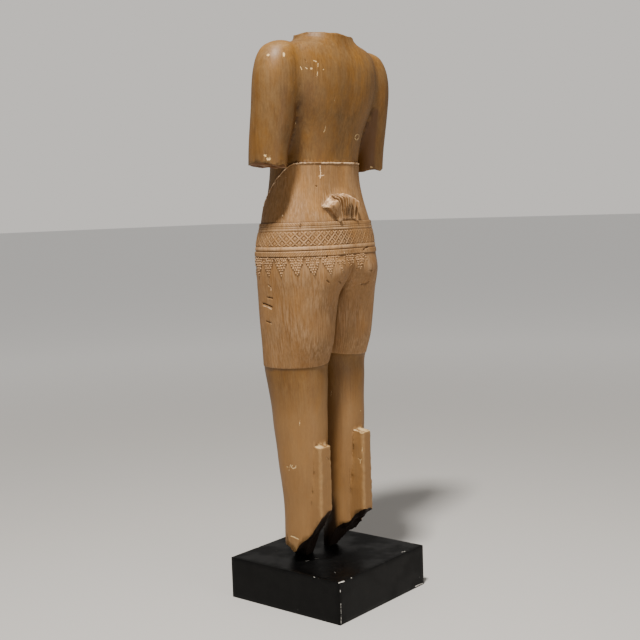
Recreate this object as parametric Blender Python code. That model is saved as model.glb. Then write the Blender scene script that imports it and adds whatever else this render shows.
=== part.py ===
import math

import bmesh
import bpy
import numpy as np
from mathutils import Vector, noise

# A cast plaster figure, broken at the neck, arms and ankles, on a square plinth.
# Metres, +Z up. The origin is the centre of the plinth's underside.
# The figure faces -Y, so its back is +Y and its own left side is +X.

# Driving sizes
FIGURE_HEIGHT = 1.305
PLINTH_SIDE = 0.350
PLINTH_HEIGHT = 0.104
PLINTH_EDGE = 0.002
SEAT_GAP = 0.0003

# The figure is drawn on a grid this many units high, so that its proportions are shares of its height.
GRID = 1305
UNIT = FIGURE_HEIGHT / GRID

# Trunk under the cloth's surface: height, half width, half depth, middle's place in Y, squareness
TRUNK = (
    (640, 165, 108, -6, 2.4),
    (680, 172, 115, -3, 2.4),
    (716, 174, 116, -1, 2.4),
    (762, 171, 115, -4, 2.4),
    (800, 167, 112, -4, 2.4),
    (841, 158, 106, -3, 2.3),
    (870, 150, 101, -5, 2.3),
    (900, 142, 97, -5, 2.2),
    (930, 135, 93, -5, 2.2),
    (960, 131, 91, -4, 2.2),
    (1000, 132, 91, 0, 2.2),
    (1060, 144, 97, 6, 2.2),
    (1120, 160, 104, 12, 2.3),
    (1180, 168, 106, 18, 2.4),
    (1220, 168, 98, 24, 2.5),
    (1245, 158, 80, 30, 2.4),
    (1262, 128, 56, 38, 2.2),
    (1272, 84, 64, 44, 2.1),
    (1284, 71, 70, 46, 2.0),
    (1310, 68, 71, 47, 2.0),
)

# One leg: height, half width, half depth, middle's place in Y, squareness
LEG = (
    (0, 51, 55, -9, 2.1),
    (70, 51, 55, -9, 2.1),
    (120, 51, 54, -9, 2.1),
    (150, 52, 55, -9, 2.1),
    (185, 55, 59, -8, 2.1),
    (237, 60, 64, -9, 2.1),
    (289, 63, 68, -10, 2.1),
    (340, 67, 72, -12, 2.1),
    (392, 69, 74, -14, 2.1),
    (443, 72, 78, -17, 2.1),
    (491, 76, 82, -20, 2.1),
    (506, 78, 84, -18, 2.1),
    (545, 82, 91, -12, 2.1),
    (600, 88, 96, -9, 2.1),
    (645, 91, 99, -7, 2.1),
    (745, 95, 102, -5, 2.1),
)
LEG_APART = 75
LEG_GAP = 4

# One arm: height, middle's place in X and in Y, half width
ARM = (
    (950, 190, 11, 46),
    (1018, 187, 16, 49),
    (1067, 182, 23, 53),
    (1115, 181, 30, 54),
    (1164, 180, 35, 55),
    (1205, 176, 37, 53),
    (1232, 169, 37, 46),
    (1248, 162, 37, 34),
    (1257, 156, 37, 16),
)

# Cloth: where it starts, how it is bound and where it ends
CROTCH = 645
CLEFT_TOP = 748
CLOTH_TOP_BACK = 983
CLOTH_TOP_FRONT = 868
CLOTH_THICK = 3.5
LIP = 2.0
LIP_HIGH = 6
BELT_TOP = 841
BELT_FOOT = 762
BELT_PROUD = 2.0
BELT_RIM = 7
RIM_PROUD = 1.8
PENDANTS = 25
PENDANT_LONG = 46
PENDANT_PROUD = 2.2
HEMS = {"left": 491, "right": 502}
HEM_RISE = 10

# Fan-shaped knot on the back of the belt
KNOT_AT = 14
KNOT_FOOT = 846
KNOT_HIGH = 66
KNOT_PROUD = 17
KNOT_FOLDS = 7
KNOT_SPREAD = 62

# Square stumps behind the calves: middle in X, half width, back face in Y, top
STRUTS = {"left": (75, 21, 72, 297), "right": (-71, 17, 83, 309)}

# Broken ends of the legs: height at the leg's inner side, its rise to the back, how that
# rise grows, and the fall outwards. Only the inner front of each leg still reaches the plinth.
BREAKS = {"left": (60, 0.95, 0.004, 0.25), "right": (52, 1.12, 0.0, 0.16)}
BREAK_FRONT = 2.4
CORNER_UP = 42
CORNER_FROM = 42
CORNER_TO = 104
ARM_ENDS = {"left": 974, "right": 968}
ARM_CLEAR = 134.5
NECK_END = 1288

# Seat, chest and spine: how far each stands out, its middle's place and its half width
SEAT = (15, 68, 705, 46)
CHEST = (7, 62, 1150, 46)
SPINE_DEEP = 4
SPINE_WIDE = 16

# Roughness of the broken faces: height and size of the lumps
NECK_ROUGH = (9, 23)
ARM_ROUGH = (7, 23)
LEG_ROUGH = (8, 21)
CORNER_ROUGH = (5, 17)

# Fineness of the mesh, whose columns are evenly spaced round the hips
HIPS = 716
COLUMNS = 4 * PENDANTS
INNER_COLUMNS = 6
TORSO_COLUMNS = 48
ARM_COLUMNS = 24
SEAT_ROWS = (702, 680, 661, CROTCH)
THIGH_ROWS = (633, 605, 550)
SHIN_ROWS = (430, 345, 260, 185, 110)
CHEST_ROWS = (835, 870, 900, 930, 960, 1000, 1030, 1060, 1090, 1120, 1150, 1180, 1200)
NECK_ROWS = (1220, 1234, 1245, 1254, 1262, 1267, 1272, 1278, 1284, 1297, 1310)
ARM_ROWS = (952, 980, 1018, 1067, 1115, 1164, 1190, 1205, 1220, 1232, 1241, 1248, 1253, 1257)
VOXEL = 9
UPPER_FACES = 2350


def along(table, at):
    """The table's other columns at a height, on a smooth curve through its rows."""
    rows = np.array(table, float)
    heights, values = rows[:, 0], rows[:, 1:]
    at = np.clip(np.asarray(at, float), heights[0], heights[-1])
    slopes = np.gradient(values, heights, axis=0)
    low = np.clip(np.searchsorted(heights, at, side="right") - 1, 0, len(heights) - 2)
    step = heights[low + 1] - heights[low]
    t = ((at - heights[low]) / step)[..., None]
    step = step[..., None]
    return (
        (2 * t**3 - 3 * t**2 + 1) * values[low]
        + (t**3 - 2 * t**2 + t) * step * slopes[low]
        + (3 * t**2 - 2 * t**3) * values[low + 1]
        + (t**3 - t**2) * step * slopes[low + 1]
    )


def ease(value, start, end):
    t = np.clip((value - start) / (end - start), 0, 1)
    return t * t * (3 - 2 * t)


def oval(width, depth, power, angle):
    """A point on a squared oval, and the way out of it."""
    c, s = np.cos(angle), np.sin(angle)
    x = width * np.sign(c) * np.abs(c) ** (2 / power)
    y = depth * np.sign(s) * np.abs(s) ** (2 / power)
    out = np.stack([c / width, s / depth], -1)
    return x, y, out / np.linalg.norm(out, axis=-1, keepdims=True)


def even_turns(columns):
    """The columns' angles, evenly spaced round the hips from the middle of the back by the left side."""
    width, depth, middle, power = along(TRUNK, HIPS)
    fine = np.pi / 2 - 2 * np.pi * np.arange(3601) / 3600
    x, y, out = oval(width, depth, power, fine)
    walked = np.concatenate([[0], np.cumsum(np.hypot(np.diff(x), np.diff(y)))])
    return np.interp(walked[-1] * np.arange(columns) / columns, walked, fine)


def new_object(name, points, faces):
    """An object from points in metres and faces, with the faces turned outwards."""
    mesh = bpy.data.meshes.new(name)
    mesh.from_pydata([tuple(map(float, p)) for p in points], [], faces)
    form = bmesh.new()
    form.from_mesh(mesh)
    bmesh.ops.recalc_face_normals(form, faces=form.faces)
    form.to_mesh(mesh)
    form.free()
    made = bpy.data.objects.new(name, mesh)
    bpy.context.scene.collection.objects.link(made)
    return made


def baked(source, name):
    """A plain mesh object with the source's modifiers applied, in place of the source."""
    graph = bpy.context.evaluated_depsgraph_get()
    mesh = bpy.data.meshes.new_from_object(source.evaluated_get(graph))
    made = bpy.data.objects.new(name, mesh)
    bpy.context.scene.collection.objects.link(made)
    bpy.data.objects.remove(source)
    return made


def combined(base, others, operation):
    """The base joined with or cut by each of the others, which are used up."""
    name = base.name
    for other in others:
        step = base.modifiers.new("Step", "BOOLEAN")
        step.operation = operation
        step.solver = "EXACT"
        step.object = other
        base.name = name + "_old"
        base = baked(base, name)
        bpy.data.objects.remove(other)
    return base


def figure_place(points):
    """Grid points in the part's own frame, standing on the plinth."""
    placed = np.asarray(points, float) * UNIT
    placed[:, 2] += PLINTH_HEIGHT + SEAT_GAP
    return placed


def ring_faces(first, second):
    count = len(first)
    return [
        (first[i], first[(i + 1) % count], second[(i + 1) % count], second[i])
        for i in range(count)
    ]


def loft(name, rings):
    """A closed body through rings of equally many points."""
    points = np.concatenate(rings)
    count = len(rings[0])
    rows = [list(range(i * count, (i + 1) * count)) for i in range(len(rings))]
    faces = []
    for upper, lower in zip(rows, rows[1:]):
        faces += ring_faces(upper, lower)
    faces += [tuple(rows[0]), tuple(reversed(rows[-1]))]
    return new_object(name, figure_place(points), faces)


def buttocks(x, z):
    """How far the seat stands out behind the plain trunk."""
    proud, apart, middle, wide = SEAT
    across = np.exp(-(((np.abs(x) - apart) / wide) ** 2))
    fall = np.where(z > middle, (z - middle) / 62, (middle - z) / 58)
    return proud * across * np.exp(-(fall**2))


def chest(x, z):
    """How far each half of the chest stands out in front, with its lower edge the steeper."""
    proud, apart, middle, wide = CHEST
    across = np.exp(-(((np.abs(x) - apart) / wide) ** 2))
    fall = np.where(z > middle, (z - middle) / 60, (middle - z) / 34)
    return proud * across * np.exp(-(fall**2))


def trunk_ring(columns, heights, proud):
    """Points round the trunk from the middle of the back by the left side, closing into two legs below."""
    width, depth, middle, power = along(TRUNK, heights).T
    x, y, out = oval(width, depth, power, even_turns(columns))
    spine = SPINE_DEEP * np.exp(-((x / SPINE_WIDE) ** 2)) * ease(heights, 860, 1000)
    y = y + middle + np.where(y > 0, buttocks(x, heights) - spine, -chest(x, heights))

    column = np.arange(columns)
    half = np.minimum(column, columns - column)
    side = np.where(column > columns / 2, -1, 1)
    leg_width, leg_depth, leg_middle, leg_power = along(LEG, np.minimum(heights, LEG[-1][0])).T
    swing = np.arccos(np.clip(-LEG_APART / leg_width, -1, 1))
    leg_turn = swing - 2 * swing * half / (columns / 2)
    leg_x, leg_y, leg_out = oval(leg_width, leg_depth, leg_power, leg_turn)
    leg_x = np.maximum(leg_x + LEG_APART, 0) * side
    leg_y = leg_y + leg_middle + 0.6 * buttocks(leg_x, heights) * (leg_y > 0)
    leg_out = leg_out * np.stack([side, np.ones(columns)], -1)
    split = ease(heights, CLEFT_TOP, CROTCH) ** 1.3
    x = x + (leg_x - x) * split
    y = y + (leg_y - y) * split
    x[[0, columns // 2]] = 0
    out = out + (leg_out - out) * split[:, None]
    out[[0, columns // 2], 0] = 0
    return np.stack([x + out[:, 0] * proud, y + out[:, 1] * proud, heights + 0 * x], -1)


def leg_ring(columns, inner, heights, proud, side):
    """Points round one leg: the outer columns from back to front, then the inner ones back again."""
    half = columns // 2
    swing = math.acos(-LEG_APART / float(along(LEG, CROTCH)[0]))
    outer_turn = swing - 2 * swing * np.arange(half + 1) / half
    inner_turn = -swing - (2 * np.pi - 2 * swing) * np.arange(1, inner) / inner
    turn = np.concatenate([outer_turn, inner_turn])
    width, depth, middle, power = along(LEG, heights).T
    x, y, out = oval(width, depth, power, turn)
    y = y + middle + 0.6 * buttocks(x + LEG_APART, heights) * (y > 0)
    x = np.maximum(x + LEG_APART + out[:, 0] * proud, LEG_GAP)
    return np.stack([side * x, y + out[:, 1] * proud, heights + 0 * x], -1)


def cloth_top(columns):
    """The cloth's upper edge: level across the back, falling round both sides to the front."""
    front = ease(-np.sin(even_turns(columns)), -0.45, 0.95)
    return CLOTH_TOP_BACK + (CLOTH_TOP_FRONT - CLOTH_TOP_BACK) * front


def lower_body():
    """Trunk below the waist and both legs, as one closed mesh with the cloth, belt and pendants on it."""
    top = cloth_top(COLUMNS)
    flat = np.ones(COLUMNS)
    saw = 1 - np.abs((np.arange(COLUMNS) % 4) - 2) / 2
    edge = BELT_FOOT - PENDANT_LONG * saw
    rows = [
        (top - 4, -9 * flat),
        (top, -8 * flat),
        (top, LIP * flat),
        (top - LIP_HIGH, LIP * flat),
        (top - LIP_HIGH - 2, 0 * flat),
    ]
    for share in (0.66, 0.33):
        rows.append((BELT_TOP + (top - LIP_HIGH - BELT_TOP) * share, 0 * flat))
    rim = BELT_PROUD + RIM_PROUD
    for height, proud in (
        (BELT_TOP + 1.5, 0),
        (BELT_TOP, rim),
        (BELT_TOP - BELT_RIM, rim),
        (BELT_TOP - BELT_RIM - 2, BELT_PROUD),
        (BELT_FOOT + BELT_RIM + 2, BELT_PROUD),
        (BELT_FOOT + BELT_RIM, rim),
        (BELT_FOOT, rim),
        (BELT_FOOT - 1.5, PENDANT_PROUD),
    ):
        rows.append((height * flat, proud * flat))
    rows.append((edge - 3, PENDANT_PROUD * flat))
    rows.append((edge - 5, 0 * flat))
    rows += [(height * flat, 0 * flat) for height in SEAT_ROWS]

    points = [trunk_ring(COLUMNS, heights, proud) for heights, proud in rows]
    index = [list(range(i * COLUMNS, (i + 1) * COLUMNS)) for i in range(len(rows))]
    faces = []
    for upper, lower in zip(index, index[1:]):
        faces += ring_faces(upper, lower)
    count = len(rows) * COLUMNS
    points.append([[0, 0, float(np.mean(top)) - 8]])
    faces += [(count, index[0][i], index[0][(i + 1) % COLUMNS]) for i in range(COLUMNS)]
    count += 1

    fork = index[-1]
    half = COLUMNS // 2
    back, front = points[len(rows) - 1][0], points[len(rows) - 1][half]
    shares = (np.arange(1, INNER_COLUMNS) / INNER_COLUMNS)[:, None]
    saddle = front + (back - front) * shares
    saddle[:, 2] += 6 * np.sin(np.pi * shares[:, 0])
    points.append(saddle)
    bridge = list(range(count, count + INNER_COLUMNS - 1))
    count += INNER_COLUMNS - 1

    for name, side in (("left", 1), ("right", -1)):
        outer = [fork[(side * i) % COLUMNS] for i in range(half + 1)]
        above = outer + bridge
        size = len(above)
        level = np.ones(size)
        inside = np.zeros(size)
        inside[half + 1 :] = 1
        inside[: half + 1] = np.abs(np.arange(half + 1) / half * 2 - 1) ** 3
        hem = HEMS[name] + HEM_RISE * inside
        steps = [(height * level, 0) for height in THIGH_ROWS]
        steps += [(hem + 3, 0), (hem, 0), (hem - 0.5, -CLOTH_THICK)]
        steps += [(height * level, -CLOTH_THICK) for height in (*SHIN_ROWS, 0)]
        for heights, proud in steps:
            points.append(leg_ring(COLUMNS, INNER_COLUMNS, heights, proud, side))
            below = list(range(count, count + size))
            faces += ring_faces(above, below)
            above = below
            count += size
        faces.append(tuple(above))
    return new_object("lower", figure_place(np.concatenate(points)), faces)


def upper_body():
    """Waist, chest, shoulders, neck and both upper arms, blended into one skin."""
    level = np.ones(TORSO_COLUMNS)
    heights = CHEST_ROWS + NECK_ROWS
    rings = [trunk_ring(TORSO_COLUMNS, height * level, -CLOTH_THICK * level) for height in heights]
    parts = [loft("torso", rings)]
    turn = 2 * np.pi * np.arange(ARM_COLUMNS) / ARM_COLUMNS
    for name, side in (("left", 1), ("right", -1)):
        rings = []
        for height in ARM_ROWS:
            x, y, radius = along(ARM, height)
            ring = [side * (x + radius * np.cos(turn)), y + radius * np.sin(turn), height + 0 * turn]
            rings.append(np.stack(ring, -1))
        parts.append(loft("arm_" + name, rings))
    skin = parts[0]
    form = bmesh.new()
    for each in parts:
        form.from_mesh(each.data)
    form.to_mesh(skin.data)
    form.free()
    for each in parts[1:]:
        bpy.data.objects.remove(each)
    blend = skin.modifiers.new("Blend", "REMESH")
    blend.mode = "VOXEL"
    blend.voxel_size = VOXEL * UNIT
    soft = skin.modifiers.new("Soft", "SMOOTH")
    soft.factor = 0.5
    soft.iterations = 7
    skin = baked(skin, "upper")
    fewer = skin.modifiers.new("Fewer", "DECIMATE")
    fewer.ratio = min(1.0, UPPER_FACES / (2 * len(skin.data.polygons)))
    return baked(skin, "upper")


def strut(name):
    """The square stump of a support, standing out behind a calf."""
    middle, half, back, top = STRUTS[name]
    rings = []
    for height, grow, lean in ((40, 1, 0), (170, 1, 0), (250, 0, 1), (top - 4, 0, 1), (top, -2, -2)):
        left, right = middle + half + grow, middle - half - grow
        rear = back + lean
        near = [[left, 0, height], [left, rear, height]]
        far = [[right, rear, height + 1.5], [right, 0, height]]
        rings.append(np.array(near + far, float))
    return loft("strut_" + name, rings)


def knot():
    """A fan of folds rising from the belt, each fold a rounded ridge that leans back and ends in a lobe."""
    across = 2 * KNOT_FOLDS + 1
    layers = []
    for share in (0.0, 0.35, 0.7, 0.92, 1.0):
        row = []
        for i in range(across):
            swing = (i / (across - 1) - 0.5) * 2
            angle = math.radians(KNOT_SPREAD) * swing
            lobe = 1.0 if i % 2 else 0.86
            reach = KNOT_HIGH * share * (1 - 0.12 * abs(swing)) * (lobe if share > 0.8 else 1)
            spread = 1.12 if swing > 0 else 0.92
            x = KNOT_AT + spread * (reach * math.sin(angle) + 11 * swing)
            z = KNOT_FOOT + reach * math.cos(angle)
            fold = 2.6 if i % 2 else -1.2
            swell = 0.55 + 0.45 * math.sin(math.pi * min(share * 0.8 + 0.1, 1))
            rise = KNOT_PROUD * swell * (1 - 0.35 * swing**2) + fold * (0.4 + share)
            surface = back_of_trunk(x, z)
            row.append((x, surface, rise, z))
        layers.append(row)
    front = [[(x, y + rise, z) for x, y, rise, z in row] for row in layers]
    behind = [[(x, y - 7, z) for x, y, rise, z in row] for row in layers]
    points = [p for row in front for p in row] + [p for row in behind for p in row]
    size = across * len(layers)
    faces = []
    for i in range(len(layers) - 1):
        for j in range(across - 1):
            a = i * across + j
            quad = (a, a + 1, a + across + 1, a + across)
            faces.append(quad)
            faces.append(tuple(size + k for k in reversed(quad)))
    last = (len(layers) - 1) * across
    for j in range(across - 1):
        faces.append((j + 1, j, size + j, size + j + 1))
        faces.append((last + j, last + j + 1, size + last + j + 1, size + last + j))
    for i in range(len(layers) - 1):
        a, b = i * across, (i + 1) * across
        faces.append((a, b, size + b, size + a))
        a, b = a + across - 1, b + across - 1
        faces.append((b, a, size + a, size + b))
    return new_object("knot", figure_place(np.array(points)), faces)


def back_of_trunk(x, z):
    width, depth, middle, power = along(TRUNK, z)
    return float(middle + depth * (1 - min(abs(x) / width, 0.999) ** power) ** (1 / power))


def rough_cutter(name, middle, across, along_it, sizes, deep, surface):
    """A block whose one face is an uneven break: it cuts off what lies beyond that face."""
    u, v = Vector(across).normalized(), Vector(along_it).normalized()
    out = u.cross(v)
    steps = 11
    face, cap = [], []
    for i in range(steps):
        for j in range(steps):
            a, b = (i / (steps - 1) - 0.5) * sizes[0], (j / (steps - 1) - 0.5) * sizes[1]
            at = Vector(middle) + u * a + v * b
            face.append(at + out * surface(at))
            cap.append(at + out * deep)
    points = np.array([tuple(p) for p in face + cap])
    count = steps * steps
    faces = []
    for i in range(steps - 1):
        for j in range(steps - 1):
            a = i * steps + j
            quad = (a, a + 1, a + steps + 1, a + steps)
            faces += [quad, tuple(count + k for k in reversed(quad))]
        for a, b in (
            (i * steps, (i + 1) * steps),
            ((i + 2) * steps - 1, (i + 1) * steps - 1),
            (i + 1, i),
            ((steps - 1) * steps + i, (steps - 1) * steps + i + 1),
        ):
            faces.append((a, b, count + b, count + a))
    return new_object(name, figure_place(points), faces)


def rough(at, lumps, seed):
    """The repeatable unevenness of a broken face, from the height and size of its lumps."""
    high, size = lumps
    return high * noise.noise(at / size + Vector((seed, 0.0, 0.0)))


def leg_break(name, side):
    """Height of the leg's broken end above the plinth, over its plan."""
    inner, rise, curve, fall = BREAKS[name]

    def surface(at):
        x, y = side * at.x, at.y
        slope = rise * y + curve * y * y if y > 0 else BREAK_FRONT * y
        height = inner + slope - fall * (x - 24) + rough(at, LEG_ROUGH, side)
        corner = (CORNER_UP - 0.3 * (y + 10)) * float(ease(x, CORNER_FROM, CORNER_TO)) - 8
        return -max(height, corner + rough(at, CORNER_ROUGH, 4.0))

    return surface


def break_cutters():
    """Blocks for the neck, the arms and the sloping ends of the legs."""

    def neck_face(at):
        return rough(at, NECK_ROUGH, 3.0)

    at = (0, 47, NECK_END)
    cutters = [rough_cutter("neck_break", at, (1, 0, 0.03), (0, 1, -0.03), (220, 220), 80, neck_face)]
    for name, side in (("left", 1), ("right", -1)):

        def arm_face(at, side=side):
            return rough(at, ARM_ROUGH, 7.0 * side)

        at = (side * (ARM_CLEAR + 60), 0, ARM_ENDS[name])
        across, back = (0, 1, 0), (1, 0, 0.1 * side)
        cutters.append(rough_cutter("arm_break_" + name, at, across, back, (150, 120), 34, arm_face))
        at = (side * LEG_APART, 10, 0)
        across, back, sizes = (1, 0, 0), (0, -1, 0), (2 * (LEG_APART - 1), 220)
        face = leg_break(name, side)
        cutters.append(rough_cutter("leg_break_" + name, at, across, back, sizes, 90, face))
    return cutters


def coloured(made, name, colour, roughness):
    material = bpy.data.materials.new(name)
    material.use_nodes = True
    shader = material.node_tree.nodes["Principled BSDF"]
    shader.inputs["Base Color"].default_value = (*colour, 1)
    shader.inputs["Roughness"].default_value = roughness
    shader.inputs["Metallic"].default_value = 0
    made.data.materials.clear()
    made.data.materials.append(material)


def make_figure():
    figure = lower_body()
    figure.name = "plaster_figure"
    figure = combined(figure, [upper_body(), strut("left"), strut("right"), knot()], "UNION")
    figure = combined(figure, break_cutters(), "DIFFERENCE")
    coloured(figure, "varnished_plaster", (0.33, 0.19, 0.09), 0.42)
    figure.data.shade_smooth()
    figure.data.set_sharp_from_angle(angle=math.radians(40))


def make_plinth():
    form = bmesh.new()
    bmesh.ops.create_cube(form, size=1)
    bmesh.ops.scale(form, vec=(PLINTH_SIDE, PLINTH_SIDE, PLINTH_HEIGHT), verts=form.verts)
    bmesh.ops.translate(form, vec=(0, 0, PLINTH_HEIGHT / 2), verts=form.verts)
    mesh = bpy.data.meshes.new("plinth")
    form.to_mesh(mesh)
    form.free()
    plinth = bpy.data.objects.new("plinth", mesh)
    bpy.context.scene.collection.objects.link(plinth)
    edge = plinth.modifiers.new("Eased edges", "BEVEL")
    edge.width = PLINTH_EDGE
    edge.segments = 2
    coloured(plinth, "black_paint", (0.012, 0.012, 0.013), 0.45)


for old in list(bpy.data.objects):
    bpy.data.objects.remove(old)
make_plinth()
make_figure()
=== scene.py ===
import math

import bmesh
import bpy
import numpy as np
from mathutils import Matrix, Vector, kdtree, noise
from mathutils.bvhtree import BVHTree


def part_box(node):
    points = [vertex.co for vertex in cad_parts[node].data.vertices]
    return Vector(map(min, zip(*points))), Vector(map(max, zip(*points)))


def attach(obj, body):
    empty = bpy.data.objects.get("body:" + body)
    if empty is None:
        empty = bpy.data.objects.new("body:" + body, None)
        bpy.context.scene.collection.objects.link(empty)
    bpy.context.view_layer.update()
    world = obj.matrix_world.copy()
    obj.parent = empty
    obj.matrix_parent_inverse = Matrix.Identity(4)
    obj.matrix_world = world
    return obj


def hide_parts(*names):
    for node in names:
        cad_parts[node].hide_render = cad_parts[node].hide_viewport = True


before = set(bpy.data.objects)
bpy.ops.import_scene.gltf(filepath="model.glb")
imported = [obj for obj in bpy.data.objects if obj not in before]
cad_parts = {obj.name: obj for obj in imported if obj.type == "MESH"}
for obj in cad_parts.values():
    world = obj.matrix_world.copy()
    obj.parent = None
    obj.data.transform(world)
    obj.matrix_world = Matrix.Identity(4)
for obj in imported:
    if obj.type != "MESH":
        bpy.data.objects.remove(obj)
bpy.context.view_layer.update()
print("frame loaded")

# The figure is drawn in millimetres above the plinth, with its back to +Y and its left side to +X.
plinthLow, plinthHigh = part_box("plinth")
figureLow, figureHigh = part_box("plaster_figure")
unit = 0.001
seat = figureLow.z

camera = {
    "imageSide": 640,
    "focal": 1100,  # in pixels of the photograph
    "turn": 129.5,  # degrees round the figure from the front
    "pitch": 5.63,  # degrees down
    "roll": -1.9,
    "distance": 2.748,
    "aside": 0.0005,
    "height": 0.970,
    "sensor": 36.0,
}


def makeCamera():
    turn, pitch, roll = (math.radians(camera[k]) for k in ("turn", "pitch", "roll"))
    flat = Vector((-math.sin(turn), math.cos(turn), 0))
    right = Vector((math.cos(turn), math.sin(turn), 0))
    forward = flat * math.cos(pitch) - Vector((0, 0, math.sin(pitch)))
    up = right.cross(forward)
    rolledRight = right * math.cos(roll) + up * math.sin(roll)
    rolledUp = up * math.cos(roll) - right * math.sin(roll)
    lens = bpy.data.cameras.new("photographView")
    lens.sensor_width = camera["sensor"]
    lens.lens = camera["focal"] / camera["imageSide"] * camera["sensor"]
    eye = bpy.data.objects.new("photographView", lens)
    spot = -flat * camera["distance"] - right * camera["aside"] + Vector((0, 0, camera["height"]))
    eye.matrix_world = Matrix((
        (rolledRight.x, rolledUp.x, -forward.x, spot.x),
        (rolledRight.y, rolledUp.y, -forward.y, spot.y),
        (rolledRight.z, rolledUp.z, -forward.z, spot.z),
        (0, 0, 0, 1),
    ))
    bpy.context.scene.collection.objects.link(eye)
    bpy.context.scene.camera = eye
    return eye


eye = makeCamera()
print("camera placed")

body = {
    # height, half width, half depth, middle in Y, squareness
    "trunk": (
        (640, 165, 108, -6, 2.4),
        (680, 172, 115, -3, 2.4),
        (716, 174, 116, -1, 2.4),
        (762, 171, 115, -4, 2.4),
        (800, 167, 112, -4, 2.4),
        (841, 158, 106, -3, 2.3),
        (870, 150, 101, -5, 2.3),
        (900, 142, 97, -5, 2.2),
        (930, 135, 93, -5, 2.2),
        (960, 131, 91, -4, 2.2),
        (1000, 132, 91, 0, 2.2),
        (1060, 144, 97, 6, 2.2),
        (1120, 163, 105, 12, 2.5),
        (1180, 170, 106, 18, 2.7),
        (1220, 169, 98, 24, 2.6),
        (1248, 164, 84, 29, 2.4),
        (1259, 150, 76, 33, 2.2),
        (1266, 118, 70, 37, 2.1),
        (1272, 86, 68, 38, 2.0),
        (1284, 83, 68, 38, 2.0),
        (1310, 83, 68, 38, 2.0),
    ),
    "leg": (
        (0, 51, 55, -9, 2.1),
        (70, 51, 55, -9, 2.1),
        (120, 51, 54, -9, 2.1),
        (150, 52, 55, -9, 2.1),
        (185, 55, 59, -8, 2.1),
        (237, 60, 64, -9, 2.1),
        (289, 63, 68, -10, 2.1),
        (340, 67, 72, -12, 2.1),
        (392, 69, 74, -14, 2.1),
        (443, 72, 78, -17, 2.1),
        (491, 76, 82, -20, 2.1),
        (506, 78, 84, -18, 2.1),
        (545, 82, 91, -12, 2.1),
        (600, 88, 96, -9, 2.1),
        (645, 91, 99, -7, 2.1),
        (745, 95, 102, -5, 2.1),
    ),
    # height, middle in X and Y, half width
    "arm": (
        (950, 190, 11, 46),
        (1018, 187, 16, 49),
        (1067, 182, 23, 53),
        (1115, 181, 30, 54),
        (1164, 180, 35, 55),
        (1205, 176, 37, 53),
        (1236, 170, 37, 46),
        (1254, 164, 37, 35),
        (1264, 157, 37, 17),
    ),
    "hips": 716,
    "crotch": 645,
    "cleftTop": 748,
    "legApart": 75,
    "legGap": 4,
    "saddle": 6,  # how far the crotch rises between its ends
    "seat": (15, 68, 705, 46),  # how far out, apart, height, half width
    "chest": (7, 62, 1150, 46),
    "spine": (3, 26),  # depth, half width
    "navel": (0, 902, 6, 9),  # X, height, depth, half width
    "innerColumns": 24,
    "shinStep": 10,
    "voxel": 6.2,  # size of the grid that blends chest, neck and arms
    "softer": 15,
    "fillFrom": (1115, 1170),  # the creases round the shoulders are filled from here up
    "fillEases": (1234, 1256),
    "fillRounds": 220,
    "mostTriangles": 158000,  # before the chips are cut
}

cloth = {
    "pleats": 150,
    "groove": (1.0, 0.28, 0.0, 0.28),  # share of the depth across one pleat
    "deep": 0.68,
    "topBack": 983,
    "topFront": 868,
    "thick": 3.5,
    "hemStep": 1.5,
    "lip": 1.3,  # how far the upper edge stands out
    "lipHigh": 3.8,
    "hems": {"left": 491, "right": 502},
    "hemRise": 10,
    "level": 0.66,  # how crisp the relief is on the whole
    # place, reach, how much crisper or more rubbed than that
    "crisp": ((118, 84, 745), 75, 0.45),
    "rubbed": ((-70, 112, 790), 85, 0.42),
}

belt = {
    "top": 841,
    "foot": 762,
    # depth below the belt's top, how far out
    "above": (
        (0, 2.8), (0.8, 3.8), (2.3, 3.8), (3.8, 3.8), (5.3, 3.8), (6.8, 3.6), (7.8, 3.0), (8.5, 1.3),
        (9.4, 2.8), (12.2, 2.8), (13.2, 1.2), (14.3, 2.7), (18.4, 2.7), (19.6, 0.9), (20.8, 0.9),
    ),
    "below": (
        (54.6, 0.9), (55.8, 0.9), (57.0, 2.8), (63.0, 2.8), (64.6, 2.4), (65.6, 0.5), (66.6, 0.5),
        (67.8, 3.2), (68.8, 3.8), (70.6, 3.8), (72.4, 3.8), (74.2, 3.8), (76.0, 3.8), (77.8, 3.7),
        (79.0, 2.8),
    ),
    "twist": 1.1,  # depth of the grooves that twist the cords
    "twists": 150,
    "lattice": (22, 53.4, 20),  # from, to, rows
    "cells": 44,
    "cellHigh": 21.0,
    "strand": 1.9,
    "boss": 1.5,  # height of the small knob in each cell
}

pendants = {
    "count": 25,
    "long": 46,
    "ground": 1.0,
    "beadRadius": 2.55,
    "beadRows": (7, 6, 6, 5, 4, 3, 2, 1),
    "firstRow": 4.5,  # below the belt
    "rowStep": 5.7,
    "pitch": 5.35,
    "perPendant": 40,  # columns of the skin that carries the beads
    "lowerFade": 0.028,  # how much sooner each row down goes
    "smallest": 0.25,
    "flatness": 0.85,
    "least": 0.66,
    "fade": 0.36,  # beads are gone where the relief is less crisp than this
    "uneven": 0.75,  # how far a bead strays from its row, in millimetres
    "seed": 5,
}


def along(table, at):  # smooth values between the table's rows
    rows = np.array(table, float)
    heights, values = rows[:, 0], rows[:, 1:]
    at = np.clip(np.asarray(at, float), heights[0], heights[-1])
    slopes = np.gradient(values, heights, axis=0)
    low = np.clip(np.searchsorted(heights, at, side="right") - 1, 0, len(heights) - 2)
    step = heights[low + 1] - heights[low]
    t = ((at - heights[low]) / step)[..., None]
    step = step[..., None]
    return (
        (2 * t**3 - 3 * t**2 + 1) * values[low]
        + (t**3 - 2 * t**2 + t) * step * slopes[low]
        + (3 * t**2 - 2 * t**3) * values[low + 1]
        + (t**3 - t**2) * step * slopes[low + 1]
    )


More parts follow.
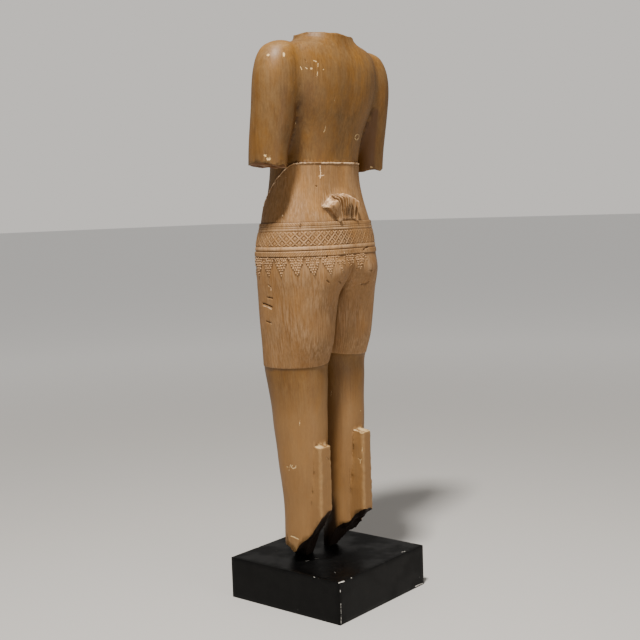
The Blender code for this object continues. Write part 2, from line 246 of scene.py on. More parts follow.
def ease(value, start, end):  # a smooth step from 0 to 1, downwards if the end is the lower
    t = np.clip((value - start) / (end - start), 0, 1)
    return t * t * (3 - 2 * t)


def lumps(spots, size, seed=0.0):  # smooth noise from -1 to 1 at each spot
    moved = np.asarray(spots, float) / size + np.array([seed, 0.37 * seed, -0.61 * seed])
    return np.array([noise.noise(p) for p in moved.tolist()])


def oval(width, depth, power, angle):
    c, s = np.cos(angle), np.sin(angle)
    x = width * np.sign(c) * np.abs(c) ** (2 / power)
    y = depth * np.sign(s) * np.abs(s) ** (2 / power)
    out = np.stack([c / width, s / depth], -1)
    return x, y, out / np.linalg.norm(out, axis=-1, keepdims=True)


def evenTurns(columns):  # angles evenly spaced round the hips, from the middle of the back by the left side
    width, depth, middle, power = along(body["trunk"], body["hips"])
    fine = np.pi / 2 - 2 * np.pi * np.arange(3601) / 3600
    x, y, out = oval(width, depth, power, fine)
    walked = np.concatenate([[0], np.cumsum(np.hypot(np.diff(x), np.diff(y)))])
    return np.interp(walked[-1] * np.arange(columns) / columns, walked, fine)


def bulge(spec, x, z, above, below):  # a pair of soft swellings
    proud, apart, middle, wide = spec
    across = np.exp(-(((np.abs(x) - apart) / wide) ** 2))
    fall = np.where(z > middle, (z - middle) / above, (middle - z) / below)
    return proud * across * np.exp(-(fall**2))


def buttocks(x, z):
    return bulge(body["seat"], x, z, 62, 58)


def chest(x, z):
    return bulge(body["chest"], x, z, 60, 34)


def trunkRing(columns, heights, proud):
    width, depth, middle, power = along(body["trunk"], heights).T
    x, y, out = oval(width, depth, power, evenTurns(columns))
    deep, wide = body["spine"]
    spine = deep * np.exp(-((x / wide) ** 2)) * ease(heights, 860, 1000)
    y = y + middle + np.where(y > 0, buttocks(x, heights) - spine, -chest(x, heights))
    column = np.arange(columns)
    half = np.minimum(column, columns - column)
    side = np.where(column > columns / 2, -1, 1)
    legHeights = np.minimum(heights, body["leg"][-1][0])
    legWidth, legDepth, legMiddle, legPower = along(body["leg"], legHeights).T
    swing = np.arccos(np.clip(-body["legApart"] / legWidth, -1, 1))
    legX, legY, legOut = oval(legWidth, legDepth, legPower, swing - 2 * swing * half / (columns / 2))
    legX = np.maximum(legX + body["legApart"], 0) * side
    legY = legY + legMiddle + 0.6 * buttocks(legX, heights) * (legY > 0)
    legOut = legOut * np.stack([side, np.ones(columns)], -1)
    split = ease(heights, body["cleftTop"], body["crotch"]) ** 1.3
    x = x + (legX - x) * split
    y = y + (legY - y) * split
    x[[0, columns // 2]] = 0
    out = out + (legOut - out) * split[:, None]
    out[[0, columns // 2], 0] = 0
    return np.stack([x + out[:, 0] * proud, y + out[:, 1] * proud, heights + 0 * x], -1)


def legRing(columns, inner, heights, proud, side):
    half = columns // 2
    apart = body["legApart"]
    swing = math.acos(-apart / float(along(body["leg"], body["crotch"])[0]))
    outerTurn = swing - 2 * swing * np.arange(half + 1) / half
    innerTurn = -swing - (2 * np.pi - 2 * swing) * np.arange(1, inner) / inner
    width, depth, middle, power = along(body["leg"], heights).T
    x, y, out = oval(width, depth, power, np.concatenate([outerTurn, innerTurn]))
    y = y + middle + 0.6 * buttocks(x + apart, heights) * (y > 0)
    x = np.maximum(x + apart + out[:, 0] * proud, body["legGap"])
    return np.stack([side * x, y + out[:, 1] * proud, heights + 0 * x], -1)


def place(spots):  # millimetres above the plinth to the frame's metres
    placed = np.asarray(spots, float) * unit
    placed[:, 2] += seat
    return placed


finishes = [bpy.data.materials.new(name) for name in ("skinVarnish", "clothVarnish", "brokenPlaster")]
skin, wrap, broken = finishes


def newPiece(name, spots, faces, kinds=None, bare=None):
    mesh = bpy.data.meshes.new(name)
    mesh.from_pydata(np.asarray(spots, float).tolist(), [], [tuple(int(i) for i in f) for f in faces])
    for material in finishes:
        mesh.materials.append(material)
    if kinds is not None:
        mesh.polygons.foreach_set("material_index", np.broadcast_to(kinds, len(faces)).astype(np.int32))
    form = bmesh.new()
    form.from_mesh(mesh)
    bmesh.ops.recalc_face_normals(form, faces=form.faces)
    form.to_mesh(mesh)
    form.free()
    shown = np.zeros(len(spots)) if bare is None else bare
    mesh.attributes.new("bare", "FLOAT", "POINT").data.foreach_set("value", np.asarray(shown, np.float32))
    made = bpy.data.objects.new(name, mesh)
    bpy.context.scene.collection.objects.link(made)
    return made


def baked(source, name):
    graph = bpy.context.evaluated_depsgraph_get()
    mesh = bpy.data.meshes.new_from_object(source.evaluated_get(graph))
    bpy.data.objects.remove(source)
    made = bpy.data.objects.new(name, mesh)
    bpy.context.scene.collection.objects.link(made)
    return made


def combined(base, others, operation):
    name = base.name
    for other in others:
        step = base.modifiers.new("Step", "BOOLEAN")
        step.operation = operation
        step.solver = "MANIFOLD"
        step.object = other
        base.name = name + "Old"
        base = baked(base, name)
        bpy.data.objects.remove(other)
        print("  ", operation.lower(), len(base.data.vertices), "points")
    return base


def bands(first, second):  # quads between two rings of equally many points
    first, second = np.asarray(first), np.asarray(second)
    return np.stack([first, np.roll(first, -1), np.roll(second, -1), second], -1).tolist()


def loft(name, rings, kind=0, bare=None):
    count = len(rings[0])
    rows = [np.arange(i * count, (i + 1) * count) for i in range(len(rings))]
    faces = []
    for upper, lower in zip(rows, rows[1:]):
        faces += bands(upper, lower)
    faces += [rows[0].tolist(), rows[-1][::-1].tolist()]
    return newPiece(name, place(np.concatenate(rings)), faces, kind, bare)


def clothTop(columns):  # level across the back, falling round both sides to the front
    front = ease(-np.sin(evenTurns(columns)), -0.45, 0.95)
    return cloth["topBack"] + (cloth["topFront"] - cloth["topBack"]) * front


def roundSpot(at, spec):  # a value that fades away from one place
    middle, reach, much = spec
    return much * np.exp(-((np.linalg.norm(at - np.array(middle), axis=1) / reach) ** 2))


def wear(at):  # from 1, crisp, down to 0.1 where the relief is worn away
    level = cloth["level"] + roundSpot(at, cloth["crisp"]) - roundSpot(at, cloth["rubbed"])
    return np.clip(level + 0.9 * lumps(at, 62, 11.0) - 0.4 * np.abs(lumps(at, 21, 4.0)), 0.1, 1)


def lattice(u, v):
    rising, falling = np.abs((u + v) % 1 - 0.5), np.abs((u - v) % 1 - 0.5)
    strand = 1 - ease(np.minimum(rising, falling), 0.07, 0.16)
    middle = 0.5 - np.minimum(rising, falling)
    boss = 1 - ease(middle, 0.14, 0.24)
    pit = 1 - ease(middle, 0.03, 0.10)
    return belt["strand"] * strand + belt["boss"] * (boss - 0.8 * pit)


def slanted(around, deep):  # 1 in the slanting grooves of a twisted cord
    phase = (around * belt["twists"] + deep / 6.4) % 1
    return ease(np.abs(phase - 0.5), 0.2, 0.45)


def clothRows(columns):  # heights and how far out, for each row from the waist to the crotch
    top = clothTop(columns)
    flat = np.ones(columns)
    around = np.arange(columns) / columns
    turn = 2 * np.pi * around
    ragged = lumps(np.stack([np.cos(turn) * 40, np.sin(turn) * 40, 0 * around], -1), 2.2)
    chipped = ease(ragged, 0.25, 0.5)
    lip = cloth["lip"] - 1.5 * chipped
    top = top + 0.8 * ragged - 1.2 * chipped
    under = top - cloth["lipHigh"]
    rows = [(top - 4, -9 * flat, 0), (top - 0.6, -8 * flat, 0)]
    rows += [(top - 0.4, lip - 0.9, 0), (top - 1.2, lip, 0), (under + 1.6, lip, 0)]
    rows += [(under, lip - 1.4, 0), (under - 1, 0 * flat - 0.6, 0.4)]
    low = belt["top"] + 3
    for share in np.linspace(0.97, 0, 9):
        rows.append((low + (under - 2 - low) * share, 0 * flat, 1))
    rows.append(((belt["top"] + 0.6) * flat, -0.3 * flat, 0.6))
    for deep, proud in belt["above"]:
        twist = belt["twist"] * slanted(around, deep) * (proud > 3.5)
        rows.append(((belt["top"] - deep) * flat, proud * flat - twist, 0))
    start, end, count = belt["lattice"]
    for deep in np.linspace(start, end, count):
        u = around * belt["cells"]
        relief = lattice(u, (deep - (start + end) / 2) / belt["cellHigh"])
        rows.append(((belt["top"] - deep) * flat, 0.9 + relief, 0))
    for deep, proud in belt["below"]:
        twist = belt["twist"] * slanted(around, -deep) * (proud > 3.3)
        rows.append(((belt["top"] - deep) * flat, proud * flat - twist, 0))
    saw = np.abs((around * pendants["count"]) % 1 - 0.5) * 2  # 0 at a tip
    for deep in (1.0, 5, 11, 17, 23, 29, 35, 41, 48):
        within = ease((1 - saw) * pendants["long"] - (deep - 4), -1.5, 1.5)
        proud = pendants["ground"] * within - 0.3 * (deep < 2)
        rows.append(((belt["foot"] - deep) * flat, proud, 1 - within))
    for height in (703, 692, 681, 670, 658, body["crotch"]):
        rows.append((height * flat, 0 * flat, 1))
    return rows


def lowerBody():
    perPleat = len(cloth["groove"])
    columns = cloth["pleats"] * perPleat
    inner = body["innerColumns"]
    groove = np.array(cloth["groove"])[np.arange(columns) % perPleat]
    rings = []
    for heights, proud, pleated in clothRows(columns):
        ring = trunkRing(columns, heights, proud)
        worn = wear(ring)
        if np.any(pleated):
            kept = np.where(heights < belt["foot"], 0.15 + 0.85 * ease(worn, 0.4, 0.8), 1)
            out = proud * kept - cloth["deep"] * groove * worn * pleated
        else:
            out = np.where(proud > 1, 1 + (proud - 1) * (0.3 + 0.7 * worn), proud)
        rings.append(trunkRing(columns, heights, out))
    spots = list(rings)
    kinds = []
    index = [np.arange(i * columns, (i + 1) * columns) for i in range(len(rings))]
    faces = []
    for upper, lower in zip(index, index[1:]):
        faces += bands(upper, lower)
    count = len(rings) * columns
    spots.append([[0, 0, float(rings[0][:, 2].mean()) - 8]])
    faces += [(count, index[0][i], index[0][(i + 1) % columns]) for i in range(columns)]
    count += 1
    kinds += [1] * len(faces)

    fork, half = index[-1], columns // 2
    back, front = rings[-1][0], rings[-1][half]
    shares = (np.arange(1, inner) / inner)[:, None]
    saddle = front + (back - front) * shares
    saddle[:, 2] += body["saddle"] * np.sin(np.pi * shares[:, 0])
    spots.append(saddle)
    bridge = list(range(count, count + inner - 1))
    count += inner - 1
    for name, side in (("left", 1), ("right", -1)):
        above = [int(fork[(side * i) % columns]) for i in range(half + 1)] + bridge
        size = len(above)
        level = np.ones(size)
        inside = np.ones(size)
        inside[: half + 1] = np.abs(np.arange(half + 1) / half * 2 - 1) ** 3
        hem = cloth["hems"][name] + cloth["hemRise"] * inside
        outerGroove = np.zeros(size)
        outerGroove[: half + 1] = groove[: half + 1]
        steps = [(height * level, 1) for height in (636, 626)]
        for share in np.linspace(1, 0, 9):
            steps.append((hem + 5 + (614 - hem - 5) * share, 1))
        ragged = lumps(legRing(columns, inner, hem, 0 * level, side), 9, 2.0)
        steps += [(hem + 1.6 + 0.5 * ragged, 0.5), (hem + 0.5 * ragged, 0)]
        for heights, pleated in steps:
            ring = legRing(columns, inner, heights, 0 * level, side)
            proud = -cloth["deep"] * outerGroove * wear(ring) * pleated - 0.5 * (pleated == 0)
            spots.append(legRing(columns, inner, heights, proud, side))
            below = np.arange(count, count + size)
            bandFaces = bands(above, below)
            faces += bandFaces
            kinds += [1] * len(bandFaces)
            above = below
            count += size
        # The skin below the hem has a quarter of the columns.
        few = size // perPleat
        fewLevel = np.ones(few)
        hemFew = hem[::perPleat] - 0.6
        shin = [hemFew]
        start = cloth["hems"][name] - 8
        for height in np.arange(start, 0, -body["shinStep"]):
            shin.append(height * fewLevel)
        shin.append(0 * fewLevel)
        for i, heights in enumerate(shin):
            thinner = (cloth["thick"] - cloth["hemStep"]) * ease(hemFew - heights, 20, 130)
            proud = -cloth["hemStep"] - thinner
            spots.append(legRing(columns // perPleat, inner // perPleat, heights, proud, side))
            below = np.arange(count, count + few)
            if i == 0:
                wide, narrow = np.asarray(above).reshape(few, perPleat), below
                nextWide, nextNarrow = np.roll(wide[:, 0], -1), np.roll(narrow, -1)
                step = []
                for j in range(few):
                    a, b, c, d = (int(k) for k in wide[j])
                    step += [(a, b, narrow[j]), (b, c, narrow[j]), (c, nextNarrow[j], narrow[j])]
                    step += [(c, d, nextNarrow[j]), (d, nextWide[j], nextNarrow[j])]
                faces += step
                kinds += [1] * len(step)
            else:
                bandFaces = bands(above, below)
                faces += bandFaces
                kinds += [0] * len(bandFaces)
            above = below
            count += few
        faces.append([int(k) for k in above])
        kinds.append(0)
    spots = np.concatenate(spots)
    bare = np.zeros(len(spots))
    lipRows = slice(2 * columns, 6 * columns)
    bare[lipRows] = 0.52 + 0.3 * lumps(spots[lipRows], 12, 5.0)
    return newPiece("carvedFigure", place(spots), faces, np.array(kinds), bare)


def points(mesh, what="co"):
    values = np.zeros(len(mesh.vertices) * 3)
    mesh.vertices.foreach_get(what, values)
    return values.reshape(-1, 3)


def edgeEnds(mesh):  # the two ends of every edge, as two rows
    edges = np.zeros(len(mesh.edges) * 2, int)
    mesh.edges.foreach_get("vertices", edges)
    return edges.reshape(-1, 2).T


def setValues(mesh, name, values):
    held = mesh.attributes.get(name) or mesh.attributes.new(name, "FLOAT", "POINT")
    held.data.foreach_set("value", np.asarray(values, np.float32))


def getValues(mesh, name):
    values = np.zeros(len(mesh.vertices), np.float32)
    held = mesh.attributes.get(name)
    if held:
        held.data.foreach_get("value", values)
    return values


def fillHollows(mesh, co, share, rounds):  # fill creases, as a cast from soft clay has them
    a, b = edgeEnds(mesh)
    size = len(co)
    count = np.maximum(np.bincount(a, minlength=size) + np.bincount(b, minlength=size), 1)
    normal = points(mesh, "normal")
    for i in range(rounds):
        total = [np.bincount(a, co[b, k], size) + np.bincount(b, co[a, k], size) for k in range(3)]
        mean = np.stack(total, -1) / count[:, None]
        out = ((mean - co) * normal).sum(1)
        co = co + normal * (np.maximum(out, 0) * share * 0.9)[:, None]
    return co


def upperBody():
    heights = list(range(835, 1200, 15)) + list(range(1200, 1296, 4)) + [1310, 1345]
    columns = 120
    level = np.ones(columns)
    rings = [trunkRing(columns, height * level, -cloth["thick"] * level) for height in heights]
    parts = [loft("torso", rings)]
    turn = 2 * np.pi * np.arange(48) / 48
    for side in (1, -1):
        rings = []
        for height in list(range(952, 1200, 14)) + list(range(1200, 1264, 4)) + [1264]:
            x, y, radius = along(body["arm"], height) - np.array([0, 0, 0.9])
            across = side * (x + radius * np.cos(turn))
            rings.append(np.stack([across, y + radius * np.sin(turn), height + 0 * turn], -1))
        parts.append(loft("arm", rings))
    upper = parts[0]
    form = bmesh.new()
    for each in parts:
        form.from_mesh(each.data)
    form.to_mesh(upper.data)
    form.free()
    for each in parts[1:]:
        bpy.data.objects.remove(each)
    blend = upper.modifiers.new("Blend", "REMESH")
    blend.mode = "VOXEL"
    blend.voxel_size = body["voxel"] * unit
    soft = upper.modifiers.new("Soft", "SMOOTH")
    soft.factor = 0.5
    soft.iterations = body["softer"]
    upper = baked(upper, "upper")
    mesh = upper.data
    co = points(mesh)
    height = (co[:, 2] - seat) / unit
    share = ease(height, *body["fillFrom"]) * (1 - 0.85 * ease(height, *body["fillEases"]))
    co = fillHollows(mesh, co, share, body["fillRounds"])
    x, height, deep, wide = body["navel"]
    away = np.hypot(co[:, 0] / unit - x, (co[:, 2] - seat) / unit - height)
    dent = deep * np.exp(-((away / wide) ** 2)) * (co[:, 1] < 0)
    co[:, 1] += dent * unit
    mesh.vertices.foreach_set("co", co.ravel())
    return upper


strutStumps = {
    # middle in X, half width, back face in Y, top
    "left": (79, 21, 68, 300),
    "right": (-71, 17, 82, 316),
    "edge": 1.6,  # how far the sharp edges are worn down
    "slope": 0.24,  # fall of the broken tops to the back
    "slopeFrom": 34,
}

breaks = {
    # a leg's height at its inner side, rise to the back, how that grows, fall outwards
    "legs": {"left": (60, 0.95, 0.004, 0.25), "right": (52, 0.78, 0.0, 0.16)},
    "front": 2.4,  # fall to the front
    "corner": (42, 42, 104),  # rise at the outer side, and where it starts and is full
    "arms": {"left": 974, "right": 968},
    "armClear": 134.5,  # no arm's break reaches nearer to the trunk
    "neck": 1288.0,
    "neckRough": (3.2, 30),
    "armRough": (7, 23),
    "legRough": (8, 21),
    "cornerRough": (5, 17),
    "grit": (0.8, 4.5),  # height and size of the fine crumbs
    "fine": 3.2,  # size of the faces
}


def backOfTrunk(x, z):
    width, depth, middle, power = along(body["trunk"], z).T
    return middle + depth * (1 - np.minimum(np.abs(x) / width, 0.999) ** power) ** (1 / power)


def sheetBlock(name, front, behind, kind, bare=None):  # a closed block between two sheets of as many points
    rows, columns = front.shape[:2]
    size = rows * columns
    index = np.arange(size).reshape(rows, columns)
    quads = np.stack([index[:-1, :-1], index[:-1, 1:], index[1:, 1:], index[1:, :-1]], -1).reshape(-1, 4)
    faces = quads.tolist() + (quads[:, ::-1] + size).tolist()
    rim = np.concatenate([index[0, :-1], index[:-1, -1], index[-1, :0:-1], index[:0:-1, 0]])
    after = np.roll(rim, -1)
    faces += np.stack([after, rim, rim + size, after + size], -1).tolist()
    shown = None if bare is None else np.tile(bare.ravel(), 2)
    spots = np.concatenate([front.reshape(-1, 3), behind.reshape(-1, 3)])
    return newPiece(name, place(spots), faces, kind, shown)


def makeStrut(name):
    middle, half, back, top = strutStumps[name]
    heights = np.concatenate([np.arange(38, top - 3, 4.0), [top - 3, top - 1, top]])
    edge = strutStumps["edge"]
    side = np.linspace(-1, 1, 12)
    rings = []
    for height in heights:
        lean = ease(height, 170, 250)
        near = ease(height, top - 4, top)
        wide = half + 1 - lean - 2 * near
        rear = back + lean - 2 * near
        left, right = middle + wide, middle - wide
        down = np.linspace(0, rear, 16)
        ring = [np.stack([left + 0 * down, down], -1)]
        ring.append(np.stack([middle - side[1:-1] * wide, rear + 0 * side[1:-1]], -1))
        ring.append(np.stack([right + 0 * down, down[::-1]], -1))
        ring = np.concatenate(ring)
        at = np.concatenate([ring, np.full((len(ring), 1), height)], -1)
        fromSide = np.abs(np.abs(ring[:, 0] - middle) - wide)
        fromRear = np.abs(ring[:, 1] - rear)
        corner = np.minimum(fromSide + fromRear, 9) / 9
        out = np.stack([np.sign(ring[:, 0] - middle) * (fromSide < 0.01), 1.0 * (fromRear < 0.01)], -1)
        shift = 0.6 * lumps(at, 14, 3.0) - edge * (1 - corner) ** 2 * (1 + 0.8 * lumps(at, 11, 8.0))
        at[:, :2] += out * shift[:, None]
        slope = strutStumps["slope"] * (ring[:, 1] - strutStumps["slopeFrom"])
        early = 0.5 * (1 - near) * slope * ease(height, top - 30, top)
        at[:, 2] += near * (1.5 * lumps(at, 9, 5.0) - slope) - early
        rings.append(at)
    centre = np.array([middle, 24])
    rim = rings[-1]
    for share in (0.72, 0.44, 0.14):  # the broken top, in rings towards its middle
        at = rim.copy()
        at[:, :2] = centre + (at[:, :2] - centre) * share
        slope = strutStumps["slope"] * (at[:, 1] - strutStumps["slopeFrom"])
        at[:, 2] = top + 1.5 * lumps(at, 9, 5.0) - slope
        rings.append(at)
    return loft("strut" + name, rings, 0)


def breakCutter(name, middle, across, alongIt, sizes, deep, surface):
    u, v = np.array(Vector(across).normalized()), np.array(Vector(alongIt).normalized())
    out = np.cross(u, v)
    count = [int(size / breaks["fine"]) for size in sizes]
    a, b = (np.linspace(-0.5, 0.5, n) * size for n, size in zip(count, sizes))
    flatFace = np.array(middle, float) + a[:, None, None] * u + b[None, :, None] * v
    height = surface(flatFace.reshape(-1, 3)).reshape(count)
    face = flatFace + out * height[..., None]
    return sheetBlock(name, face, flatFace + out * deep, 2)


def rough(at, spec, seed):
    high, size = spec
    grit, fine = breaks["grit"]
    moved = at / size + np.array([seed, 0.0, 0.0])
    broad = np.array([noise.noise(p) for p in moved.tolist()])
    crumbs = lumps(at, fine, seed) - 1 - 1.4 * np.abs(lumps(at, 2.4 * fine, seed + 1))
    return high * broad + grit * crumbs - 0.8


def legBreak(name, side):
    inner, rise, curve, fall = breaks["legs"][name]
    up, start, end = breaks["corner"]

    def surface(at):
        x, y = side * at[:, 0], at[:, 1]
        slope = np.where(y > 0, rise * y + curve * y * y, breaks["front"] * y)
        height = inner + slope - fall * (x - 24) + rough(at, breaks["legRough"], side)
        corner = (up - 0.3 * (y + 10)) * ease(x, start, end) - 8
        return -np.maximum(height, corner + rough(at, breaks["cornerRough"], 4.0))

    return surface


def breakCutters():
    at = (0, 47, breaks["neck"])
    cutters = [breakCutter("neckBreak", at, (1, 0, 0.03), (0, 1, -0.03), (220, 220), 80,
                           lambda p: rough(p, breaks["neckRough"], 3.0))]
    for name, side in (("left", 1), ("right", -1)):
        at = (side * (breaks["armClear"] + 60), 0, breaks["arms"][name])
        cutters.append(breakCutter("armBreak" + name, at, (0, 1, 0), (1, 0, 0.1 * side), (150, 120), 34,
                                   lambda p, side=side: rough(p, breaks["armRough"], 7.0 * side)))
        at = (side * body["legApart"], 10, 0)
        sizes = (2 * (body["legApart"] - 1), 220)
        cutters.append(breakCutter("legBreak" + name, at, (1, 0, 0), (0, -1, 0), sizes, 90,
                                   legBreak(name, side)))
    return cutters


def curvature(mesh, rounds, reach):  # how far each point stands out of what lies round it
    co = points(mesh)
    normal = points(mesh, "normal")
    size = len(co)
    a, b = edgeEnds(mesh)
    long = np.linalg.norm(co[a] - co[b], axis=1)
    weight = 1 / (long + 0.0004)
    total = np.bincount(a, weight, size) + np.bincount(b, weight, size) + 1e-9
    count = np.bincount(a, minlength=size) + np.bincount(b, minlength=size)
    mean = (np.bincount(a, long, size) + np.bincount(b, long, size)) / np.maximum(count, 1)
    fine = np.minimum(0.0034 / np.maximum(mean, 1e-6), 1) ** 2  # coarse faces carry no relief
    smooth = co.copy()
    for i in range(rounds):
        for axis in range(3):
            ahead = np.bincount(a, weight * smooth[b, axis], size)
            ahead = ahead + np.bincount(b, weight * smooth[a, axis], size)
            smooth[:, axis] += 0.6 * (ahead / total - smooth[:, axis])
    return np.clip(((co - smooth) * normal).sum(1) / reach, -1, 1) * fine


# Painted shade: spots closed in by the figure itself, and the inner faces of the arms.
shadeGaps = {
    "reach": 75,  # how far off another surface still closes a spot's outlook, for the painted shade
    "innerArm": (0.24, 0.42),  # how far a face of an arm turns to the trunk to get painted shade
    "armHeights": (940, 960, 1120, 1170),
}


def paintedShadeShare(piece):  # how much of each point's outlook is closed by the piece itself, near by, with the inner faces of the arms: painted shade
    tree = BVHTree.FromObject(piece, bpy.context.evaluated_depsgraph_get())
    shares = []
    for v in piece.data.vertices:
        n = v.normal
        side = n.orthogonal()
        other = n.cross(side)
        start = v.co + n * (0.8 * unit)
        met = 0
        for way in (n, n + side, n - side, n + other, n - other):
            met += tree.ray_cast(start, way.normalized(), shadeGaps["reach"] * unit)[0] is not None
        shares.append(met / 5)
    at, normal = points(piece.data), points(piece.data, "normal")
    x, z = at[:, 0] / unit, (at[:, 2] - seat) / unit
    inner = ease(-np.sign(x) * normal[:, 0], *shadeGaps["innerArm"]) * (np.abs(x) > 128)
    foot, start, end, top = shadeGaps["armHeights"]
    inner *= (1 - ease(z, end, top)) * ease(z, foot, start)
    return np.maximum(shares, inner)


def capShare(at, normal):  # 1 on the broken tops of the struts
    x, y, z = at[:, 0] / unit, at[:, 1] / unit, (at[:, 2] - seat) / unit
    share = 0 * x
    for name in ("left", "right"):
        middle, half, back, top = strutStumps[name]
        lid = top - strutStumps["slope"] * (y - strutStumps["slopeFrom"])
        inside = (np.abs(x - middle) < half + 2) & (y > back - 52) & (y < back + 3)
        inside &= np.abs(z - lid) < 6
        share = np.maximum(share, inside * ease(normal[:, 2], 0.35, 0.7))
    return share


def besideStruts(at):  # 1 where a strut runs into its calf
    x, y, z = at[:, 0] / unit, at[:, 1] / unit, (at[:, 2] - seat) / unit
    share = 0 * x
    for name in ("left", "right"):
        middle, half, back, top = strutStumps[name]
        beside = 1 - ease(np.abs(x - middle), half + 14, half + 24)
        lid = top - strutStumps["slope"] * (y - strutStumps["slopeFrom"])
        beside = beside * (1 - ease(z, lid - 10, lid - 5)) * ease(z, 60, 90) * ease(y, 22, 34)
        share = np.maximum(share, beside)
    return share


def shadeGroup(name, inputs, outputs):
    tree = bpy.data.node_groups.new(name, "ShaderNodeTree")
    for key, value in inputs.items():
        tree.interface.new_socket(key, in_out="INPUT", socket_type="NodeSocketFloat").default_value = value
    for key in outputs:
        tree.interface.new_socket(key, in_out="OUTPUT", socket_type="NodeSocketFloat")
    return tree, tree.nodes.new("NodeGroupInput"), tree.nodes.new("NodeGroupOutput")


def add(tree, kind, inputs=None, **settings):  # a node, with values or links for its inputs
    made = tree.nodes.new("ShaderNode" + kind)
    for key, value in settings.items():
        setattr(made, key, value)
    for key, value in (inputs or {}).items():
        socket = made.inputs[key]
        if isinstance(value, bpy.types.NodeSocket):
            tree.links.new(value, socket)
        else:
            socket.default_value = value
    return made


def mathNode(tree, operation, a, b=0.0, clamp=False):
    return add(tree, "Math", {0: a, 1: b}, operation=operation, use_clamp=clamp).outputs[0]


def spread(tree, value, low, high, to=(0.0, 1.0)):  # a smooth ramp of the value
    ends = {0: value, 1: low, 2: high, 3: to[0], 4: to[1]}
    return add(tree, "MapRange", ends, interpolation_type="SMOOTHSTEP").outputs[0]


def mottleGroup():  # soft patches, and smaller blotches inside them
    inputs = {"Size": 9.0, "Stretch": 0.45, "Seed": 0.0}
    tree, given, out = shadeGroup("mottle", inputs, ("Patches", "Blotches", "Grain"))
    parts = add(tree, "SeparateXYZ", {0: add(tree, "TexCoord").outputs["Object"]})
    tall = mathNode(tree, "MULTIPLY", parts.outputs[2], given.outputs["Stretch"])
    moved = mathNode(tree, "ADD", parts.outputs[0], given.outputs["Seed"])
    spot = add(tree, "CombineXYZ", {0: moved, 1: parts.outputs[1], 2: tall}).outputs[0]
    for name, times, detail, low, high in (("Patches", 1, 3, 0.36, 0.64), ("Blotches", 4.2, 5, 0.35, 0.7),
                                           ("Grain", 34, 3, 0.3, 0.7)):
        scale = mathNode(tree, "MULTIPLY", given.outputs["Size"], times)
        cloud = add(tree, "TexNoise", {"Vector": spot, "Scale": scale, "Detail": detail, "Roughness": 0.6})
        tree.links.new(spread(tree, cloud.outputs[0], low, high), out.inputs[name])
    return tree


def streakGroup():  # fine upright streaks, as left by a comb
    tree, given, out = shadeGroup("streaks", {"Across": 260.0, "Along": 9.0, "Keep": 0.5}, ("Streaks",))
    where = add(tree, "TexCoord").outputs["Object"]
    parts = add(tree, "SeparateXYZ", {0: where})
    x, y = (mathNode(tree, "MULTIPLY", parts.outputs[i], given.outputs["Across"]) for i in (0, 1))
    z = mathNode(tree, "MULTIPLY", parts.outputs[2], given.outputs["Along"])
    spot = add(tree, "CombineXYZ", {0: x, 1: y, 2: z}).outputs[0]
    cloud = add(tree, "TexNoise", {"Vector": spot, "Scale": 1.0, "Detail": 3.0, "Roughness": 0.65})
    patchy = add(tree, "TexNoise", {"Vector": where, "Scale": 16.0, "Detail": 2.0})
    kept = spread(tree, patchy.outputs[0], 0.35, 0.65, (0.4, 1.0))
    kept = mathNode(tree, "MULTIPLY", kept, given.outputs["Keep"])
    lines = spread(tree, cloud.outputs[0], 0.36, 0.66)
    tree.links.new(mathNode(tree, "MULTIPLY", lines, kept), out.inputs["Streaks"])
    return tree


def wearGroup():  # rubbed edges, recesses darkened with dirt and painted shade, and bare chips, from what the carving says
    tree, given, out = shadeGroup("wear", {"Rubbed": 1.0, "Filled": 1.0}, ("Edge", "ShadedRecess", "Bare"))
    where = add(tree, "TexCoord").outputs["Object"]
    cloud = add(tree, "TexNoise", {"Vector": where, "Scale": 60.0, "Detail": 4.0, "Roughness": 0.7})
    uneven = spread(tree, cloud.outputs[0], 0.3, 0.62, (0.25, 1.0))
    relief = add(tree, "Attribute", attribute_name="relief").outputs["Fac"]
    bare = add(tree, "Attribute", attribute_name="bare").outputs["Fac"]
    edge = mathNode(tree, "MULTIPLY", spread(tree, relief, 0.12, 0.75), given.outputs["Rubbed"])
    tree.links.new(mathNode(tree, "MULTIPLY", edge, uneven, True), out.inputs["Edge"])
    deep = spread(tree, mathNode(tree, "MULTIPLY", relief, -1.0), 0.08, 0.7)
    tree.links.new(mathNode(tree, "MULTIPLY", deep, given.outputs["Filled"], True), out.inputs["ShadedRecess"])
    broken = mathNode(tree, "ADD", bare, spread(tree, cloud.outputs[0], 0.35, 0.65, (-0.25, 0.25)))
    tree.links.new(spread(tree, broken, 0.3, 0.7), out.inputs["Bare"])
    return tree


groups = {"mottle": mottleGroup(), "streaks": streakGroup(), "wear": wearGroup()}


def useGroup(tree, name, **values):
    made = tree.nodes.new("ShaderNodeGroup")
    made.node_tree = groups[name]
    for key, value in values.items():
        made.inputs[key].default_value = value
    return made.outputs


def blendColour(tree, share, first, second):
    def given(colour):
        return colour if isinstance(colour, bpy.types.NodeSocket) else (*colour, 1)

    ends = {0: share, 6: given(first), 7: given(second)}
    return add(tree, "Mix", ends, data_type="RGBA").outputs[2]


skinLook = {
    "gold": (0.218, 0.097, 0.014),
    "brown": (0.136, 0.061, 0.012),
    "grey": (0.176, 0.099, 0.036),
    "dark": (0.042, 0.015, 0.002),
    "pale": (0.56, 0.39, 0.19),
    # deep is the colour of the painted shade in closed-in spots and on the inner faces of the arms
    "deep": (0.088, 0.030, 0.0015),
    "worn": 0.22,
    "shins": (0.31, 0.165, 0.062),
    "roughness": (0.48, 0.62),
    "grain": 0.24,
    "flecks": 0.30,
}

clothLook = {
    "gold": (0.295, 0.145, 0.044),
    "brown": (0.205, 0.095, 0.025),
    "grey": (0.235, 0.130, 0.053),
    "dark": (0.048, 0.018, 0.004),
    "pale": (0.62, 0.42, 0.25),
    # deep is the colour of the painted shade in closed-in spots
    "deep": (0.125, 0.050, 0.009),
    "worn": 0.45,
    "roughness": (0.55, 0.78),
    "grain": 0.24,
    "flecks": 0.16,
}

